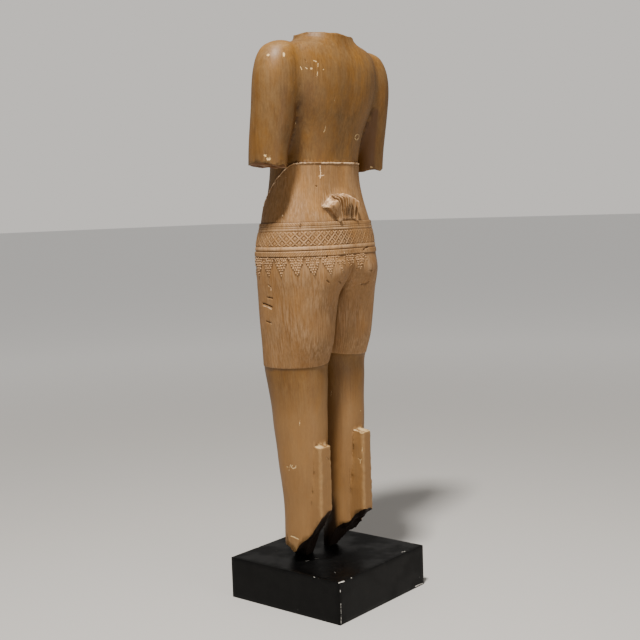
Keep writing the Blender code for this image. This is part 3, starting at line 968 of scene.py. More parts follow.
brokenLook = {
    "gold": (0.17, 0.065, 0.014),
    "brown": (0.09, 0.034, 0.009),
    "grey": (0.12, 0.058, 0.022),
    "dark": (0.025, 0.009, 0.003),
    # the near-black colour of the painted shadow under the legs
    "legShadow": (0.010, 0.0045, 0.002),
    "pale": (0.55, 0.38, 0.24),
    # deep is the colour of the painted shade in closed-in spots
    "deep": (0.06, 0.020, 0.003),
    "worn": 0.35,
    "roughness": (0.6, 0.85),
    "grain": 0.2,
    "flecks": 0.2,
}

varnish = {
    "greyed": 0.75,
    "grain": 0.2,
    "combed": 0.3,
    "shins": 0.5,
    "shinHeights": (0.62, 0.42),
    # strength of the painted shade in closed-in spots and on the inner arms
    "paintedShade": 0.8,
    "recessDarkness": 0.72,  # how dark the recesses are made: dirt and painted shade
    # heights over which the broken plaster fades into the painted shadow under the legs
    "legShadowHeights": (0.30, 0.20),
    "specular": 0.28,
    "bump": 0.35,
    "bumpDeep": 0.0006,
}


def plasterMaterial(material, look, combed, seed):
    material.use_nodes = True
    tree = material.node_tree
    shader = tree.nodes["Principled BSDF"]
    mottle = useGroup(tree, "mottle", Size=7.0, Seed=seed)
    wear = useGroup(tree, "wear", Rubbed=0.75, Filled=1.0)
    streaks = useGroup(tree, "streaks", Keep=combed)["Streaks"]
    colour = blendColour(tree, mottle["Patches"], look["brown"], look["gold"])
    greyed = mathNode(tree, "MULTIPLY", mottle["Blotches"], varnish["greyed"])
    colour = blendColour(tree, greyed, colour, look["grey"])
    stain = useGroup(tree, "streaks", Across=95.0, Along=6.0, Keep=look["grain"])["Streaks"]
    colour = blendColour(tree, stain, colour, look["dark"])
    flecks = useGroup(tree, "streaks", Across=240.0, Along=34.0, Keep=look["flecks"])["Streaks"]
    colour = blendColour(tree, flecks, colour, look["dark"])
    grain = mathNode(tree, "MULTIPLY", mottle["Grain"], varnish["grain"])
    colour = blendColour(tree, grain, colour, look["dark"])
    colour = blendColour(tree, mathNode(tree, "MULTIPLY", streaks, varnish["combed"]), colour, look["pale"])
    height = add(tree, "SeparateXYZ", {0: add(tree, "TexCoord").outputs["Object"]}).outputs[2]
    if "shins" in look:  # the lower legs are rubbed paler
        rubbed = spread(tree, height, *varnish["shinHeights"], (0.0, varnish["shins"]))
        colour = blendColour(tree, rubbed, colour, look["shins"])
    # Painted shade where the piece closes in on itself and on the inner faces of the arms.
    paintedShade = add(tree, "Attribute", attribute_name="paintedShade").outputs["Fac"]
    paintedShade = spread(tree, paintedShade, 0.1, 1.0, (0.0, varnish["paintedShade"]))
    colour = blendColour(tree, paintedShade, colour, look["deep"])
    colour = blendColour(tree, mathNode(tree, "MULTIPLY", wear["Edge"], look["worn"]), colour, look["pale"])
    # Recesses are darkened with dirt and painted shade.
    darkRecess = mathNode(tree, "MULTIPLY", wear["ShadedRecess"], varnish["recessDarkness"])
    colour = blendColour(tree, darkRecess, colour, look["dark"])
    colour = blendColour(tree, wear["Bare"], colour, look["pale"])
    if "legShadow" in look:  # painted shadow makes the undersides of the legs nearly black
        under = spread(tree, height, *varnish["legShadowHeights"])
        colour = blendColour(tree, under, colour, look["legShadow"])
    else:
        # the skin and cloth take the painted shadow under the legs from the mesh
        legShadowMask = add(tree, "Attribute", attribute_name="legShadow").outputs["Fac"]
        colour = blendColour(tree, legShadowMask, colour, brokenLook["legShadow"])
    tree.links.new(colour, shader.inputs["Base Color"])
    dull = mathNode(tree, "ADD", mathNode(tree, "MULTIPLY", wear["Bare"], 0.6), wear["ShadedRecess"])
    dull = mathNode(tree, "ADD", mathNode(tree, "MULTIPLY", mottle["Blotches"], 0.7), dull)
    tree.links.new(spread(tree, dull, 0.0, 1.0, look["roughness"]), shader.inputs["Roughness"])
    shader.inputs["Specular IOR Level"].default_value = varnish["specular"]
    lumpy = mathNode(tree, "ADD", mathNode(tree, "MULTIPLY", mottle["Blotches"], 0.5), streaks)
    lumpy = mathNode(tree, "ADD", mathNode(tree, "MULTIPLY", mottle["Grain"], 0.35), lumpy)
    shape = {"Height": lumpy, "Strength": varnish["bump"], "Distance": varnish["bumpDeep"]}
    tree.links.new(add(tree, "Bump", shape).outputs[0], shader.inputs["Normal"])


plasterMaterial(skin, skinLook, 0.16, 0.0)
plasterMaterial(wrap, clothLook, 0.62, 4.0)
plasterMaterial(broken, brokenLook, 0.0, 8.0)
print("plaster finishes made")

paintLook = {
    "black": (0.0015, 0.0015, 0.0016),
    "dusty": (0.006, 0.0058, 0.0055),
    "primer": (0.62, 0.60, 0.56),
    "roughness": (0.3, 0.5),
    "specular": 0.11,
    "bump": 0.18,
    "bumpDeep": 0.0005,
}


def paintMaterial():
    material = bpy.data.materials.new("satinBlackPaint")
    material.use_nodes = True
    tree = material.node_tree
    shader = tree.nodes["Principled BSDF"]
    mottle = useGroup(tree, "mottle", Size=9.0, Stretch=1.0, Seed=2.0)
    wear = useGroup(tree, "wear", Rubbed=0.25, Filled=0.0)
    dusty = mathNode(tree, "MULTIPLY", mottle["Blotches"], 0.3)
    colour = blendColour(tree, dusty, paintLook["black"], paintLook["dusty"])
    colour = blendColour(tree, mathNode(tree, "MULTIPLY", wear["Edge"], 0.5), colour, paintLook["dusty"])
    colour = blendColour(tree, wear["Bare"], colour, paintLook["primer"])
    tree.links.new(colour, shader.inputs["Base Color"])
    rough = spread(tree, mottle["Patches"], 0.0, 1.0, paintLook["roughness"])
    tree.links.new(rough, shader.inputs["Roughness"])
    shader.inputs["Specular IOR Level"].default_value = paintLook["specular"]
    shape = {"Height": mottle["Grain"], "Strength": paintLook["bump"], "Distance": paintLook["bumpDeep"]}
    tree.links.new(add(tree, "Bump", shape).outputs[0], shader.inputs["Normal"])
    return material


plinth = {
    "edge": 1.6,  # how far the edges are eased, in millimetres
    "cell": 6.0,  # size of the faces
    "nick": 1.8,
}


def makePlinth():
    low, high = np.array(plinthLow), np.array(plinthHigh)
    size = high - low
    form = bmesh.new()
    bmesh.ops.create_cube(form, size=1)
    cuts = [int(side / unit / plinth["cell"]) for side in size]
    for axis in range(3):
        turned = [e for e in form.edges if abs((e.verts[0].co - e.verts[1].co)[axis]) > 0.5]
        bmesh.ops.subdivide_edges(form, edges=turned, cuts=cuts[axis], use_grid_fill=True)
    mesh = bpy.data.meshes.new("paintedPlinth")
    form.to_mesh(mesh)
    form.free()
    co = points(mesh)
    edge = plinth["edge"] * unit
    # Pull the rows next to each edge close to it, so that the edge is crisp.
    inner = size / 2 - edge
    at = co * size
    for axis in range(3):
        step = size[axis] / (cuts[axis] + 1)
        near = np.abs(np.abs(at[:, axis]) - (size[axis] / 2 - step)) < step * 0.1
        at[near, axis] = np.sign(at[near, axis]) * inner[axis]
    core = np.clip(at, -inner, inner)
    beyond = at - core
    long = np.linalg.norm(beyond, axis=1, keepdims=True)
    at = core + beyond / np.maximum(long, 1e-9) * np.minimum(long, edge)
    depth = size / 2 - np.abs(core)
    toEdge = np.sort(depth, axis=1)[:, 1]  # distance to the nearest edge
    spots = at / unit
    nick = ease(lumps(spots, 17, 3.0), 0.28, 0.6) * np.exp(-((toEdge / unit / 2.4) ** 2))
    out = np.where(np.abs(at) > inner - 1e-9, np.sign(at), 0)
    at -= out * (plinth["nick"] * unit * nick * (0.5 + 0.5 * lumps(spots, 5, 1.0)))[:, None]
    under = at[:, 2] < -size[2] / 2 + edge * 0.5
    at[under, 2] = np.minimum(at[under, 2], -size[2] / 2 + edge)
    at += (low + high) / 2
    at[:, 2] = np.maximum(at[:, 2], 0)
    mesh.vertices.foreach_set("co", at.ravel())
    setValues(mesh, "bare", 0.75 * ease(nick, 0.5, 0.95) * (lumps(spots, 3, 6.0) > 0.0))
    made = bpy.data.objects.new("paintedPlinth", mesh)
    bpy.context.scene.collection.objects.link(made)
    mesh.materials.append(paintMaterial())
    mesh.shade_smooth()
    mesh.set_sharp_from_angle(angle=math.radians(35))
    setValues(mesh, "relief", curvature(mesh, 3, 0.0006))
    return made


knot = {
    # from the figure's left, -1, to its right, 1: place in X and height at the foot and at the crown
    "foot": (
        (-1, 50, 848), (-0.78, 42, 840), (-0.52, 31, 843), (-0.4, 24, 846),
        (0.4, 2, 846), (0.62, -18, 845), (0.8, -27, 840), (1, -34, 846),
    ),
    "crown": (
        (-1, 82, 877), (-0.75, 66, 893), (-0.5, 49, 905), (0, 22, 909),
        (0.5, -7, 906), (0.8, -30, 897), (1, -42, 880),
    ),
    # folds across it: share of the rise
    "folds": (
        (-1, 0.1), (-0.95, 0.7), (-0.8, 1.0), (-0.62, 0.94), (-0.56, 0.5), (-0.5, 0.1), (-0.44, 0.74),
        (-0.36, 0.34), (-0.29, 0.86), (-0.19, 0.36), (-0.11, 0.92), (-0.01, 0.4), (0.07, 0.94),
        (0.15, 0.4), (0.24, 0.92), (0.33, 0.3), (0.42, 0.86), (0.51, 0.16), (0.62, 0.84), (0.71, 0.26),
        (0.82, 0.8), (0.94, 0.55), (1, 0.1),
    ),
    "rise": 23.0,
    "foothold": 0.14,  # share of the rise at the foot
    "drop": 0.36,  # the same where the outer lobes hang
    "crownFrom": 0.84,  # where the broken crown starts
    "across": 132,
    "up": 40,
}


def makeKnot():
    across = np.linspace(-1, 1, knot["across"])
    up = np.linspace(0, 1, knot["up"]) ** 0.8

    def between(table, column):
        rows = np.array(table, float)
        return np.interp(across, rows[:, 0], rows[:, column])

    rows = np.array(knot["folds"])
    low = np.clip(np.searchsorted(rows[:, 0], across, side="right") - 1, 0, len(rows) - 2)
    share = (across - rows[low, 0]) / (rows[low + 1, 0] - rows[low, 0])
    fold = rows[low, 1] + (rows[low + 1, 1] - rows[low, 1]) * share**2 * (3 - 2 * share)
    lobe = np.maximum(ease(-across, 0.5, 0.62), ease(across, 0.55, 0.68))
    s = up[:, None]
    footX, footZ = between(knot["foot"], 1), between(knot["foot"], 2)
    crownX, crownZ = between(knot["crown"], 1), between(knot["crown"], 2)
    x = footX + (crownX - footX) * s**1.35
    z = footZ + (crownZ - footZ) * s**0.95
    lean = knot["foothold"] + (1 - knot["foothold"]) * ease(s, -0.1, 0.8)
    hanging = knot["drop"] + (1 - knot["drop"]) * ease(s, 0.1, 0.8)
    depth = np.clip(1.3 * fold - 0.22, 0.06, 1)
    rise = knot["rise"] * (lean * (1 - lobe) + hanging * lobe) * depth
    at = np.stack([x, 0 * x + 100, z], -1).reshape(-1, 3)
    uneven = lumps(at, 7, 2.0).reshape(x.shape)
    fine = lumps(at, 2.6, 4.0).reshape(x.shape)
    edge = knot["crownFrom"] + 0.03 * uneven
    crown = np.clip((s - edge) / (0.985 - edge), 0, 1)
    rise = rise * (1 - 0.88 * crown) + 0.35 * uneven + (1.1 * fine + 0.8 * uneven) * crown * (1 - crown) * 4
    surface = backOfTrunk(x.ravel(), z.ravel()).reshape(x.shape)
    front = np.stack([x, surface + rise, z], -1)
    behind = np.stack([x, surface - 6, z], -1)
    bare = 0.4 * ease(crown, 0.0, 0.12) + 0.2 * fine * (crown > 0)
    return sheetBlock("knot", front, behind, 1, bare)


def beadTree():  # a small bead on every point, set square to the surface
    tree = bpy.data.node_groups.new("beadsOnPoints", "GeometryNodeTree")
    tree.interface.new_socket("Geometry", in_out="INPUT", socket_type="NodeSocketGeometry")
    for key, kind, value in (("Radius", "NodeSocketFloat", 0.0025), ("Flatness", "NodeSocketFloat", 0.8),
                             ("Least", "NodeSocketFloat", 0.85), ("Seed", "NodeSocketInt", 1)):
        tree.interface.new_socket(key, in_out="INPUT", socket_type=kind).default_value = value
    tree.interface.new_socket("Material", in_out="INPUT", socket_type="NodeSocketMaterial")
    tree.interface.new_socket("Geometry", in_out="OUTPUT", socket_type="NodeSocketGeometry")
    link = tree.links.new
    given = tree.nodes.new("NodeGroupInput").outputs
    bead = tree.nodes.new("GeometryNodeMeshUVSphere")
    bead.inputs["Segments"].default_value = 7
    bead.inputs["Rings"].default_value = 4
    link(given["Radius"], bead.inputs["Radius"])
    flat = tree.nodes.new("ShaderNodeCombineXYZ")
    flat.inputs[0].default_value = flat.inputs[1].default_value = 1
    link(given["Flatness"], flat.inputs[2])
    size = tree.nodes.new("GeometryNodeInputNamedAttribute")
    size.inputs["Name"].default_value = "size"
    chance = tree.nodes.new("FunctionNodeRandomValue")
    link(given["Least"], chance.inputs[2])
    chance.inputs[3].default_value = 1.1
    link(given["Seed"], chance.inputs["Seed"])
    product = tree.nodes.new("ShaderNodeMath")
    product.operation = "MULTIPLY"
    link(size.outputs["Attribute"], product.inputs[0])
    link(chance.outputs[1], product.inputs[1])
    scaled = tree.nodes.new("ShaderNodeVectorMath")
    scaled.operation = "SCALE"
    link(flat.outputs[0], scaled.inputs[0])
    link(product.outputs[0], scaled.inputs["Scale"])
    out = tree.nodes.new("GeometryNodeInputNamedAttribute")
    out.data_type = "FLOAT_VECTOR"
    out.inputs["Name"].default_value = "out"
    turned = tree.nodes.new("FunctionNodeAlignRotationToVector")
    turned.axis = "Z"
    link(out.outputs["Attribute"], turned.inputs["Vector"])
    placed = tree.nodes.new("GeometryNodeInstanceOnPoints")
    link(given["Geometry"], placed.inputs["Points"])
    link(bead.outputs["Mesh"], placed.inputs["Instance"])
    link(turned.outputs[0], placed.inputs["Rotation"])
    link(scaled.outputs[0], placed.inputs["Scale"])
    real = tree.nodes.new("GeometryNodeRealizeInstances")
    link(placed.outputs[0], real.inputs[0])
    finish = tree.nodes.new("GeometryNodeSetMaterial")
    link(real.outputs[0], finish.inputs["Geometry"])
    link(given["Material"], finish.inputs["Material"])
    link(finish.outputs[0], tree.nodes.new("NodeGroupOutput").inputs[0])
    return tree


def setInputs(modifier, values):
    for item in modifier.node_group.interface.items_tree:
        if item.item_type == "SOCKET" and item.in_out == "INPUT" and item.name in values:
            modifier[item.identifier] = values[item.name]


def pendantBeads():  # clusters of beads that taper to a point below the belt
    perPendant = pendants["perPendant"]
    columns = perPendant * pendants["count"]
    spots, outs, sizes = [], [], []
    chance = np.random.default_rng(pendants["seed"])
    for row, count in enumerate(pendants["beadRows"]):
        height = belt["foot"] - pendants["firstRow"] - row * pendants["rowStep"]
        level = height * np.ones(columns)
        ring = trunkRing(columns, level, pendants["ground"] * np.ones(columns))
        far = trunkRing(columns, level, 5.0 * np.ones(columns))
        around = np.linalg.norm(ring - np.roll(ring, 1, 0), axis=1).mean()
        worn = wear(ring)
        for k in range(pendants["count"]):
            for i in range(count):
                aside, rise = chance.normal(0, pendants["uneven"], 2)
                aside += (i - (count - 1) / 2) * pendants["pitch"]
                at = int(round((k + 0.5) * perPendant + aside / around)) % columns
                left = worn[at] - pendants["lowerFade"] * row
                size = ease(left, pendants["fade"], pendants["fade"] + 0.4)
                if size > pendants["smallest"]:
                    spots.append(ring[at] + np.array([0, 0, rise]))
                    outs.append(far[at] - ring[at])
                    sizes.append(0.55 + 0.45 * size)
    mesh = bpy.data.meshes.new("beadSpots")
    mesh.from_pydata(place(np.array(spots)).tolist(), [], [])
    setValues(mesh, "size", sizes)
    mesh.attributes.new("out", "FLOAT_VECTOR", "POINT").data.foreach_set("vector", np.array(outs).ravel())
    made = bpy.data.objects.new("beadSpots", mesh)
    bpy.context.scene.collection.objects.link(made)
    maker = made.modifiers.new("Beads", "NODES")
    maker.node_group = beadTree()
    setInputs(maker, {"Radius": pendants["beadRadius"] * unit, "Flatness": pendants["flatness"],
                      "Least": pendants["least"], "Seed": pendants["seed"], "Material": wrap})
    made = baked(made, "pendantBeads")
    print("beads", len(spots))
    return made


marks = {
    # width and depth in millimetres, how bare, path in the photograph's view
    "figure": (
        # The first two are pale spots on the left shoulder that stand for glints: painted highlights.
        (3.2, 0.12, 1.5, ((268, 55), (268.4, 55))),
        (3.2, 0.12, 1.5, ((284, 53.4), (284, 55.2))),
        (1.8, 0.9, 0.5, ((305, 59.5), (306, 61))),
        (1.5, 0.7, 0.9, ((313.5, 60.5), (316.5, 61.5))),
        (1.4, 0.7, 0.9, ((318, 63), (317.8, 66.5))),
        (1.4, 0.7, 0.9, ((317.5, 72), (317.3, 75.5))),
        (2.2, 0.8, 1.0, ((311, 68.5), (311.5, 68.5))),
        (1.5, 0.6, 0.7, ((307, 68.5), (305.5, 67.5))),
        (1.4, 0.6, 0.8, ((300.5, 67), (301.8, 69.5))),
        (1.2, 0.6, 0.7, ((325.6, 126), (325, 130), (323.8, 132))),
        (1.3, 0.7, 1.0, ((356, 139.6), (354.9, 138), (355.6, 135.4), (357.6, 134.2),
                         (359.2, 135.2), (358.8, 138), (357.4, 139.8), (355.6, 139.8))),
        (1.5, 0.8, 1.0, ((320, 165.5), (320.6, 172), (320.2, 178))),
        (2.4, 2.2, 0.0, ((316, 186), (316.6, 186.2))),
        (1.3, 0.5, 0.5, ((319, 176), (324, 175))),
        (3.4, 1.2, 1.0, ((268, 158.6), (269.4, 158.4))),
        (3.0, 1.0, 0.8, ((264.6, 155.4), (265.6, 155.2))),
        (2.4, 0.8, 0.8, ((371, 167), (372, 167.5))),
        (2.0, 1.6, 0.2, ((300.5, 223.5), (300.3, 228))),
        (3.2, 2.6, 0.1, ((363.2, 250), (367.6, 246.8))),
        (2.6, 2.0, 0.4, ((324.5, 260), (327.2, 256.5))),
        (2.2, 2.0, 0.1, ((327, 280.6), (329.4, 282.6))),
        (2.4, 2.4, 0.0, ((339, 281.4), (341.2, 283))),
        (2.8, 2.6, 0.3, ((361, 284.4), (365, 284.6), (369.6, 281.4))),
        (2.4, 2.2, 0.3, ((357.2, 268.6), (360.6, 266.6))),
        (2.4, 1.8, 0.3, ((370, 270.6), (372, 270.8))),
        (2.4, 2.0, 0.4, ((373.4, 281.6), (375, 278.4))),
        (2.4, 2.6, 0.2, ((267.4, 297.4), (272.4, 298.4))),
        (1.8, 1.2, 0.4, ((268, 285), (270.6, 287), (271, 290))),
        (3.0, 3.0, 0.0, ((262.8, 303.6), (266, 304.4), (271.6, 307))),
        (1.6, 0.4, 0.7, ((263, 305.6), (266, 306.4), (271.4, 309))),
        (2.4, 2.4, 0.4, ((266.4, 321.4), (271.4, 323.4))),
        (0.9, 0.7, 0.7, ((282.6, 464.4), (285, 465.6))),
        (0.9, 0.7, 0.9, ((286.2, 466.4), (289.4, 467.6), (290.8, 464.6))),
        (0.8, 0.6, 0.8, ((289.4, 467.6), (289, 470.6))),
        (1.1, 0.7, 1.0, ((292.4, 465.2), (291.2, 467), (293, 468.6), (295.6, 467.6), (296, 465.4))),
        (1.8, 1.0, 0.8, ((291, 535.8), (295, 537.2), (298.4, 539.2))),
        (1.6, 1.4, 0.5, ((327, 458), (329.4, 460.4))),
        (1.3, 0.8, 0.6, ((362.4, 444.4), (362.2, 451))),
        (1.3, 0.9, 0.6, ((358.4, 458.4), (360.4, 460.6), (362, 458.4))),
        (1.3, 0.9, 0.6, ((360.4, 460.6), (360.2, 463.4))),
        (1.4, 0.6, 0.0, ((349.4, 470), (349.8, 484))),
        (1.4, 0.6, 0.0, ((352.8, 476), (352.4, 484))),
        # A pale spot on the right strut's top corner: a painted highlight, cut as a shallow chip.
        (3.0, 1.0, 1.0, ((360.6, 432.2), (362.4, 432.6))),
        (1.6, 0.8, 0.5, ((331.6, 391), (330.8, 396))),
        (1.2, 0.5, 0.6, ((296, 120), (295.6, 124))),
        (1.2, 0.5, 0.5, ((335, 96), (334.6, 101))),
        (1.4, 0.5, 0.5, ((300, 420), (299.4, 426))),
    ),
    "plinth": (
        # The first three run down the near corner of the plinth where its edge catches the light: painted
        # highlights, cut as shallow chips.
        (1.6, 0.8, 1.0, ((338.6, 582.8), (344.4, 581.2))),
        (1.0, 0.5, 1.0, ((340.2, 589.4), (340.4, 592))),
        (0.7, 0.4, 0.7, ((340.9, 604), (341.2, 612), (341.2, 624))),
        (1.6, 0.6, 0.9, ((233, 598.2), (246, 601.6))),
        (1.6, 0.6, 0.9, ((415.4, 586.4), (422.6, 583.4))),
        (0.8, 0.3, 0.6, ((314, 577), (314.8, 577.2))),
        (0.8, 0.3, 0.7, ((351, 578), (351.8, 577.8))),
        (1.3, 0.4, 0.8, ((306, 561), (309, 560.4))),
        (1.3, 0.4, 0.8, ((315, 558.6), (318.6, 558.2))),
        (1.3, 0.4, 0.8, ((402, 552), (405, 551.2))),
        (1.0, 0.5, 0.9, ((288, 612.2), (291, 613))),
    ),
    "finest": 1.25,  # edge length near a mark
    "scattered": {"figure": 80, "plinth": 12},
    "seed": 12,
}


def castFrom(tree, x, y):  # where a spot of the photograph lies on a piece
    half = camera["imageSide"] / 2
    turned = eye.matrix_world.to_3x3()
    way = turned @ Vector((x - half, half - y, -camera["focal"])).normalized()
    spot, normal, face, far = tree.ray_cast(eye.matrix_world.translation, way)
    return spot


# Painted shadow on the lower ends of the legs.
legShadow = {
    # heights where it starts and is full
    "right": (66, 42),
    "rightInner": (150, 95),
    "left": (46, 24),
    "leftAcross": (78, 58),
    "inwards": (31, 23),  # across the right leg, from its outer back to its inner side
    "facing": (0.1, 0.45),
    "uneven": 7,
}


def legShadowOn(at, normal):  # painted shadow, near black, on the lower ends of the legs
    x, y, z = at[:, 0] / unit, at[:, 1] / unit, (at[:, 2] - seat) / unit
    low = lumps(at / unit, 14, 9.0) * legShadow["uneven"]

    def upTo(name, shift):
        start, full = legShadow[name]
        return ease(-z, shift - start, shift - full)

    right = upTo("right", low) * (x < 0)
    clean, full = legShadow["inwards"]
    inner = ease(0.636 * x - 0.772 * y, -clean, -full) * upTo("rightInner", low) * (x < 0)
    inner *= ease(normal[:, 0], *legShadow["facing"])
    right = np.maximum(right, 0.9 * inner)
    outer, middle = legShadow["leftAcross"]
    left = ease(-x, -outer, -middle) * upTo("left", 0) * (x > 0)
    return np.maximum(right, left)


def makeMarks(piece, kind):  # cut chips, dents and scratches into a piece
    tree = BVHTree.FromObject(piece, bpy.context.evaluated_depsgraph_get())
    strokes = []
    for wide, deep, bare, path in marks[kind]:
        spots = []
        for a, b in zip(path, path[1:]):
            steps = max(2, int(math.dist(a, b) / 0.4))
            for i in range(steps + 1):
                found = castFrom(tree, a[0] + (b[0] - a[0]) * i / steps, a[1] + (b[1] - a[1]) * i / steps)
                if found:
                    spots.append(found)
        if spots:
            strokes.append((wide * unit, deep * unit, bare, spots))
    chance = np.random.default_rng(marks["seed"])
    corners = points(piece.data)
    for i in range(marks["scattered"][kind]):
        spot = Vector(corners[chance.integers(len(corners))])
        if kind == "plinth" and spot.z < 0.004:
            continue
        way = Vector(chance.normal(size=3)) * 0.0015
        spots = [spot, spot + way] if i % 3 else [spot]
        wide = chance.uniform(0.8, 2.0) if kind == "figure" else chance.uniform(0.5, 1.1)
        strokes.append((wide * unit, wide * 0.35 * unit, chance.uniform(0, 1), spots))
    form = bmesh.new()
    form.from_mesh(piece.data)
    bareLayer, reliefLayer = (form.verts.layers.float[name] for name in ("bare", "relief"))
    bmesh.ops.triangulate(form, faces=form.faces)
    near = kdtree.KDTree(sum(len(s[3]) for s in strokes))
    owner = []
    for i, stroke in enumerate(strokes):
        for spot in stroke[3]:
            near.insert(spot, len(owner))
            owner.append(i)
    near.balance()
    finest = marks["finest"] * unit
    for level in range(5):
        chosen = []
        for e in form.edges:
            long = e.calc_length()
            if long > 1.5 * finest:
                middle = (e.verts[0].co + e.verts[1].co) / 2
                spot, index, far = near.find(middle)
                if far < strokes[owner[index]][0] * 1.3 + 0.5 * long:
                    chosen.append(e)
        if not chosen:
            break
        bmesh.ops.subdivide_edges(form, edges=chosen, cuts=1)
        bmesh.ops.triangulate(form, faces=[f for f in form.faces if len(f.verts) > 3])
    form.normal_update()
    moves = []
    for v in form.verts:
        spot, index, far = near.find(v.co)
        wide, deep, bare, path = strokes[owner[index]]
        ragged = 1 + 0.75 * noise.noise(v.co / (2.2 * unit))
        share = far / (wide * ragged)
        if share < 1.25:
            moves.append((v, v.normal * deep * max(0.0, 1 - share * share) ** 1.5))
            v[bareLayer] = max(v[bareLayer], bare * min(1.0, max(0.0, (1.1 - share) / 0.5)))
            # Dents that are not bare sink the relief, so they darken like recesses, with dirt and painted
            # shade.
            sunk = max(0.0, 1 - share) * min(1.0, deep / (1.2 * unit))
            v[reliefLayer] -= (1 - bare) * sunk
    for v, move in moves:
        v.co -= move
    form.to_mesh(piece.data)
    form.free()
    print(kind, "marks", len(strokes))


softForms = {
    "cleft": (5.0, 6.5, 745, 715),  # depth, half width, where it starts and is full
    "foldDeep": 1.2,
    "foldAcross": (30, 118),  # from the inner side outwards
    "foldHeights": (612, 643),
    "foldWidth": 14,
    "undercut": 2.2,  # how far the thigh lies in under the fold
    "strutFill": 110,
}


def softenForms(piece):  # seat folds and cleft, and the calves run smoothly into the struts
    mesh = piece.data
    co = points(mesh)
    normal = points(mesh, "normal")
    x, y, z = co[:, 0] / unit, co[:, 1] / unit, (co[:, 2] - seat) / unit
    deep, wide, start, full = softForms["cleft"]
    inward = deep * np.exp(-((x / wide) ** 2)) * ease(z, start, full) * ease(z, 640, 660)
    low, high = softForms["foldAcross"]
    share = (np.abs(x) - low) / (high - low)
    window = ease(share, -0.3, 0.15) * (1 - ease(share, 0.6, 1.15))
    bottom, top = softForms["foldHeights"]
    over = z - (bottom + (top - bottom) * np.clip(share, 0, 1) ** 0.8)
    inward += window * softForms["foldDeep"] * np.exp(-((over / softForms["foldWidth"]) ** 2))
    inward += window * softForms["undercut"] * (1 - ease(over, -16, 12)) * (1 - ease(-over, 10, 80))
    inward *= ease(y, 5, 30)
    co -= normal * (inward * unit)[:, None]
    co = fillHollows(mesh, co, besideStruts(co), softForms["strutFill"])
    mesh.vertices.foreach_set("co", co.ravel())


def joinFigure():  # one solid, from its carved parts to its breaks
    figure = lowerBody()
    print("lower body", len(figure.data.polygons), "faces")
    upper = upperBody()
    print("upper body", len(upper.data.polygons), "faces")
    struts = [makeStrut(name) for name in ("left", "right")]
    figure = combined(figure, [upper, makeKnot(), pendantBeads(), *struts], "UNION")
    softenForms(figure)
    figure = combined(figure, breakCutters(), "DIFFERENCE")
    relief = curvature(figure.data, 6, 0.0011)
    at = points(figure.data)
    # The smoothed hollows beside the struts and the seat folds are forms, so they get little of the recess
    # darkening of dirt and painted shade.
    calm = np.maximum(besideStruts(at), 1 - ease(np.abs((at[:, 2] - seat) / unit - 625), 20, 34))
    setValues(figure.data, "relief", np.where(relief < 0, relief * (1 - 0.9 * calm), relief))
    fewer = figure.modifiers.new("Fewer", "DECIMATE")
    now = sum(len(f.vertices) - 2 for f in figure.data.polygons)
    fewer.ratio = min(1.0, body["mostTriangles"] / now)
    figure = baked(figure, "carvedFigure")
    print("thinned to", len(figure.data.polygons))
    figure.data.validate()
    return figure


def ageFigure(figure):  # chips, bare plaster, painted shade in closed-in spots and painted shadow on the lower legs
    mesh = figure.data
    setValues(mesh, "paintedShade", paintedShadeShare(figure))
    at = points(mesh)
    caps = capShare(at, points(mesh, "normal")) * (0.5 + 0.3 * lumps(at / unit, 6, 3.0))
    setValues(mesh, "bare", np.maximum(getValues(mesh, "bare"), caps))
    makeMarks(figure, "figure")
    mesh.validate()
    setValues(mesh, "legShadow", legShadowOn(points(mesh), points(mesh, "normal")))
    mesh.shade_smooth()
    print("figure", len(mesh.polygons), "triangles")


figure = joinFigure()
ageFigure(figure)
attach(figure, "root")
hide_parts("plaster_figure")

block = makePlinth()
makeMarks(block, "plinth")
block.data.validate()
print("plinth", len(block.data.polygons), "faces")
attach(block, "root")
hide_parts("plinth")

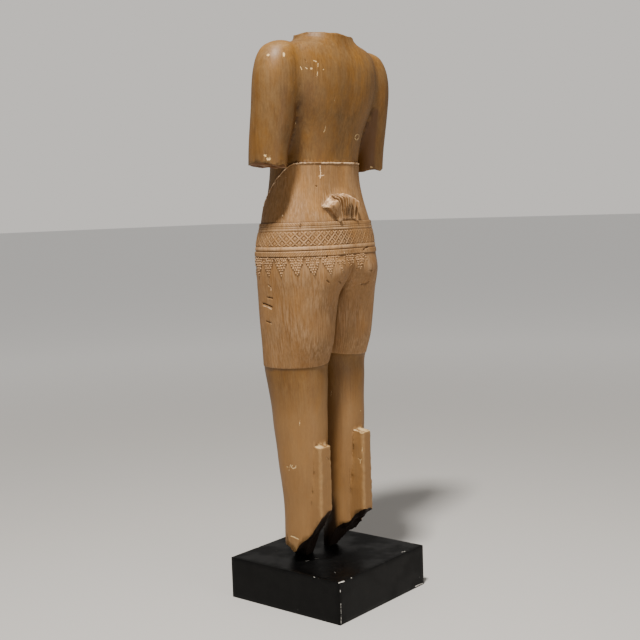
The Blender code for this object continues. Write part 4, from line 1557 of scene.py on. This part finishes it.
studio = {
    "floorSide": 80,  # half the floor's side, in metres
    "floor": (0.50, 0.49, 0.475),
    "glowFrom": (1.0, 5.5),  # the floor stays pale far from the lamps
    "farGlow": 0.6,
    "air": (0.93, 0.89, 0.84),
    "airStrength": 0.34,
    "seenStrength": 0.78,
    "aim": (0, 0, 0.75),
    # place, size, power, colour
    "key": ((1.49, 0.79, 3.93), 0.38, 300, (1.0, 0.955, 0.89)),
    "fill": ((0.2, 2.6, 0.85), 1.2, 18, (1, 0.96, 0.90)),
}


def makeFloor():
    side = studio["floorSide"]
    mesh = bpy.data.meshes.new("floor")
    corners = [(-side, -side, 0), (side, -side, 0), (side, side, 0), (-side, side, 0)]
    mesh.from_pydata(corners, [], [(0, 1, 2, 3)])
    made = bpy.data.objects.new("floor", mesh)
    bpy.context.scene.collection.objects.link(made)
    paper = bpy.data.materials.new("studioFloor")
    paper.use_nodes = True
    tree = paper.node_tree
    shader = tree.nodes["Principled BSDF"]
    shader.inputs["Base Color"].default_value = (*studio["floor"], 1)
    shader.inputs["Roughness"].default_value = 0.8
    shader.inputs["Emission Color"].default_value = (*studio["floor"], 1)
    away = add(tree, "VectorMath", {0: add(tree, "TexCoord").outputs["Object"]}, operation="LENGTH")
    glow = spread(tree, away.outputs["Value"], *studio["glowFrom"], (0.0, studio["farGlow"]))
    tree.links.new(glow, shader.inputs["Emission Strength"])
    mesh.materials.append(paper)
    return made


def makeAir():  # soft light from all round, paler where it is seen behind the figure
    world = bpy.data.worlds.new("studio")
    bpy.context.scene.world = world
    world.use_nodes = True
    tree = world.node_tree
    sky = tree.nodes["Background"]
    sky.inputs["Color"].default_value = (*studio["air"], 1)
    seen = add(tree, "LightPath").outputs["Is Camera Ray"]
    strength = spread(tree, seen, 0.0, 1.0, (studio["airStrength"], studio["seenStrength"]))
    tree.links.new(strength, sky.inputs["Strength"])


def makeLamp(name):
    spot, size, power, colour = studio[name]
    lamp = bpy.data.lights.new(name, "AREA")
    lamp.size = size
    lamp.energy = power
    lamp.color = colour
    made = bpy.data.objects.new(name, lamp)
    made.location = spot
    made.rotation_euler = (Vector(spot) - Vector(studio["aim"])).to_track_quat("Z", "Y").to_euler()
    bpy.context.scene.collection.objects.link(made)


floor = makeFloor()
makeAir()
makeLamp("key")
makeLamp("fill")
print("studio ready")
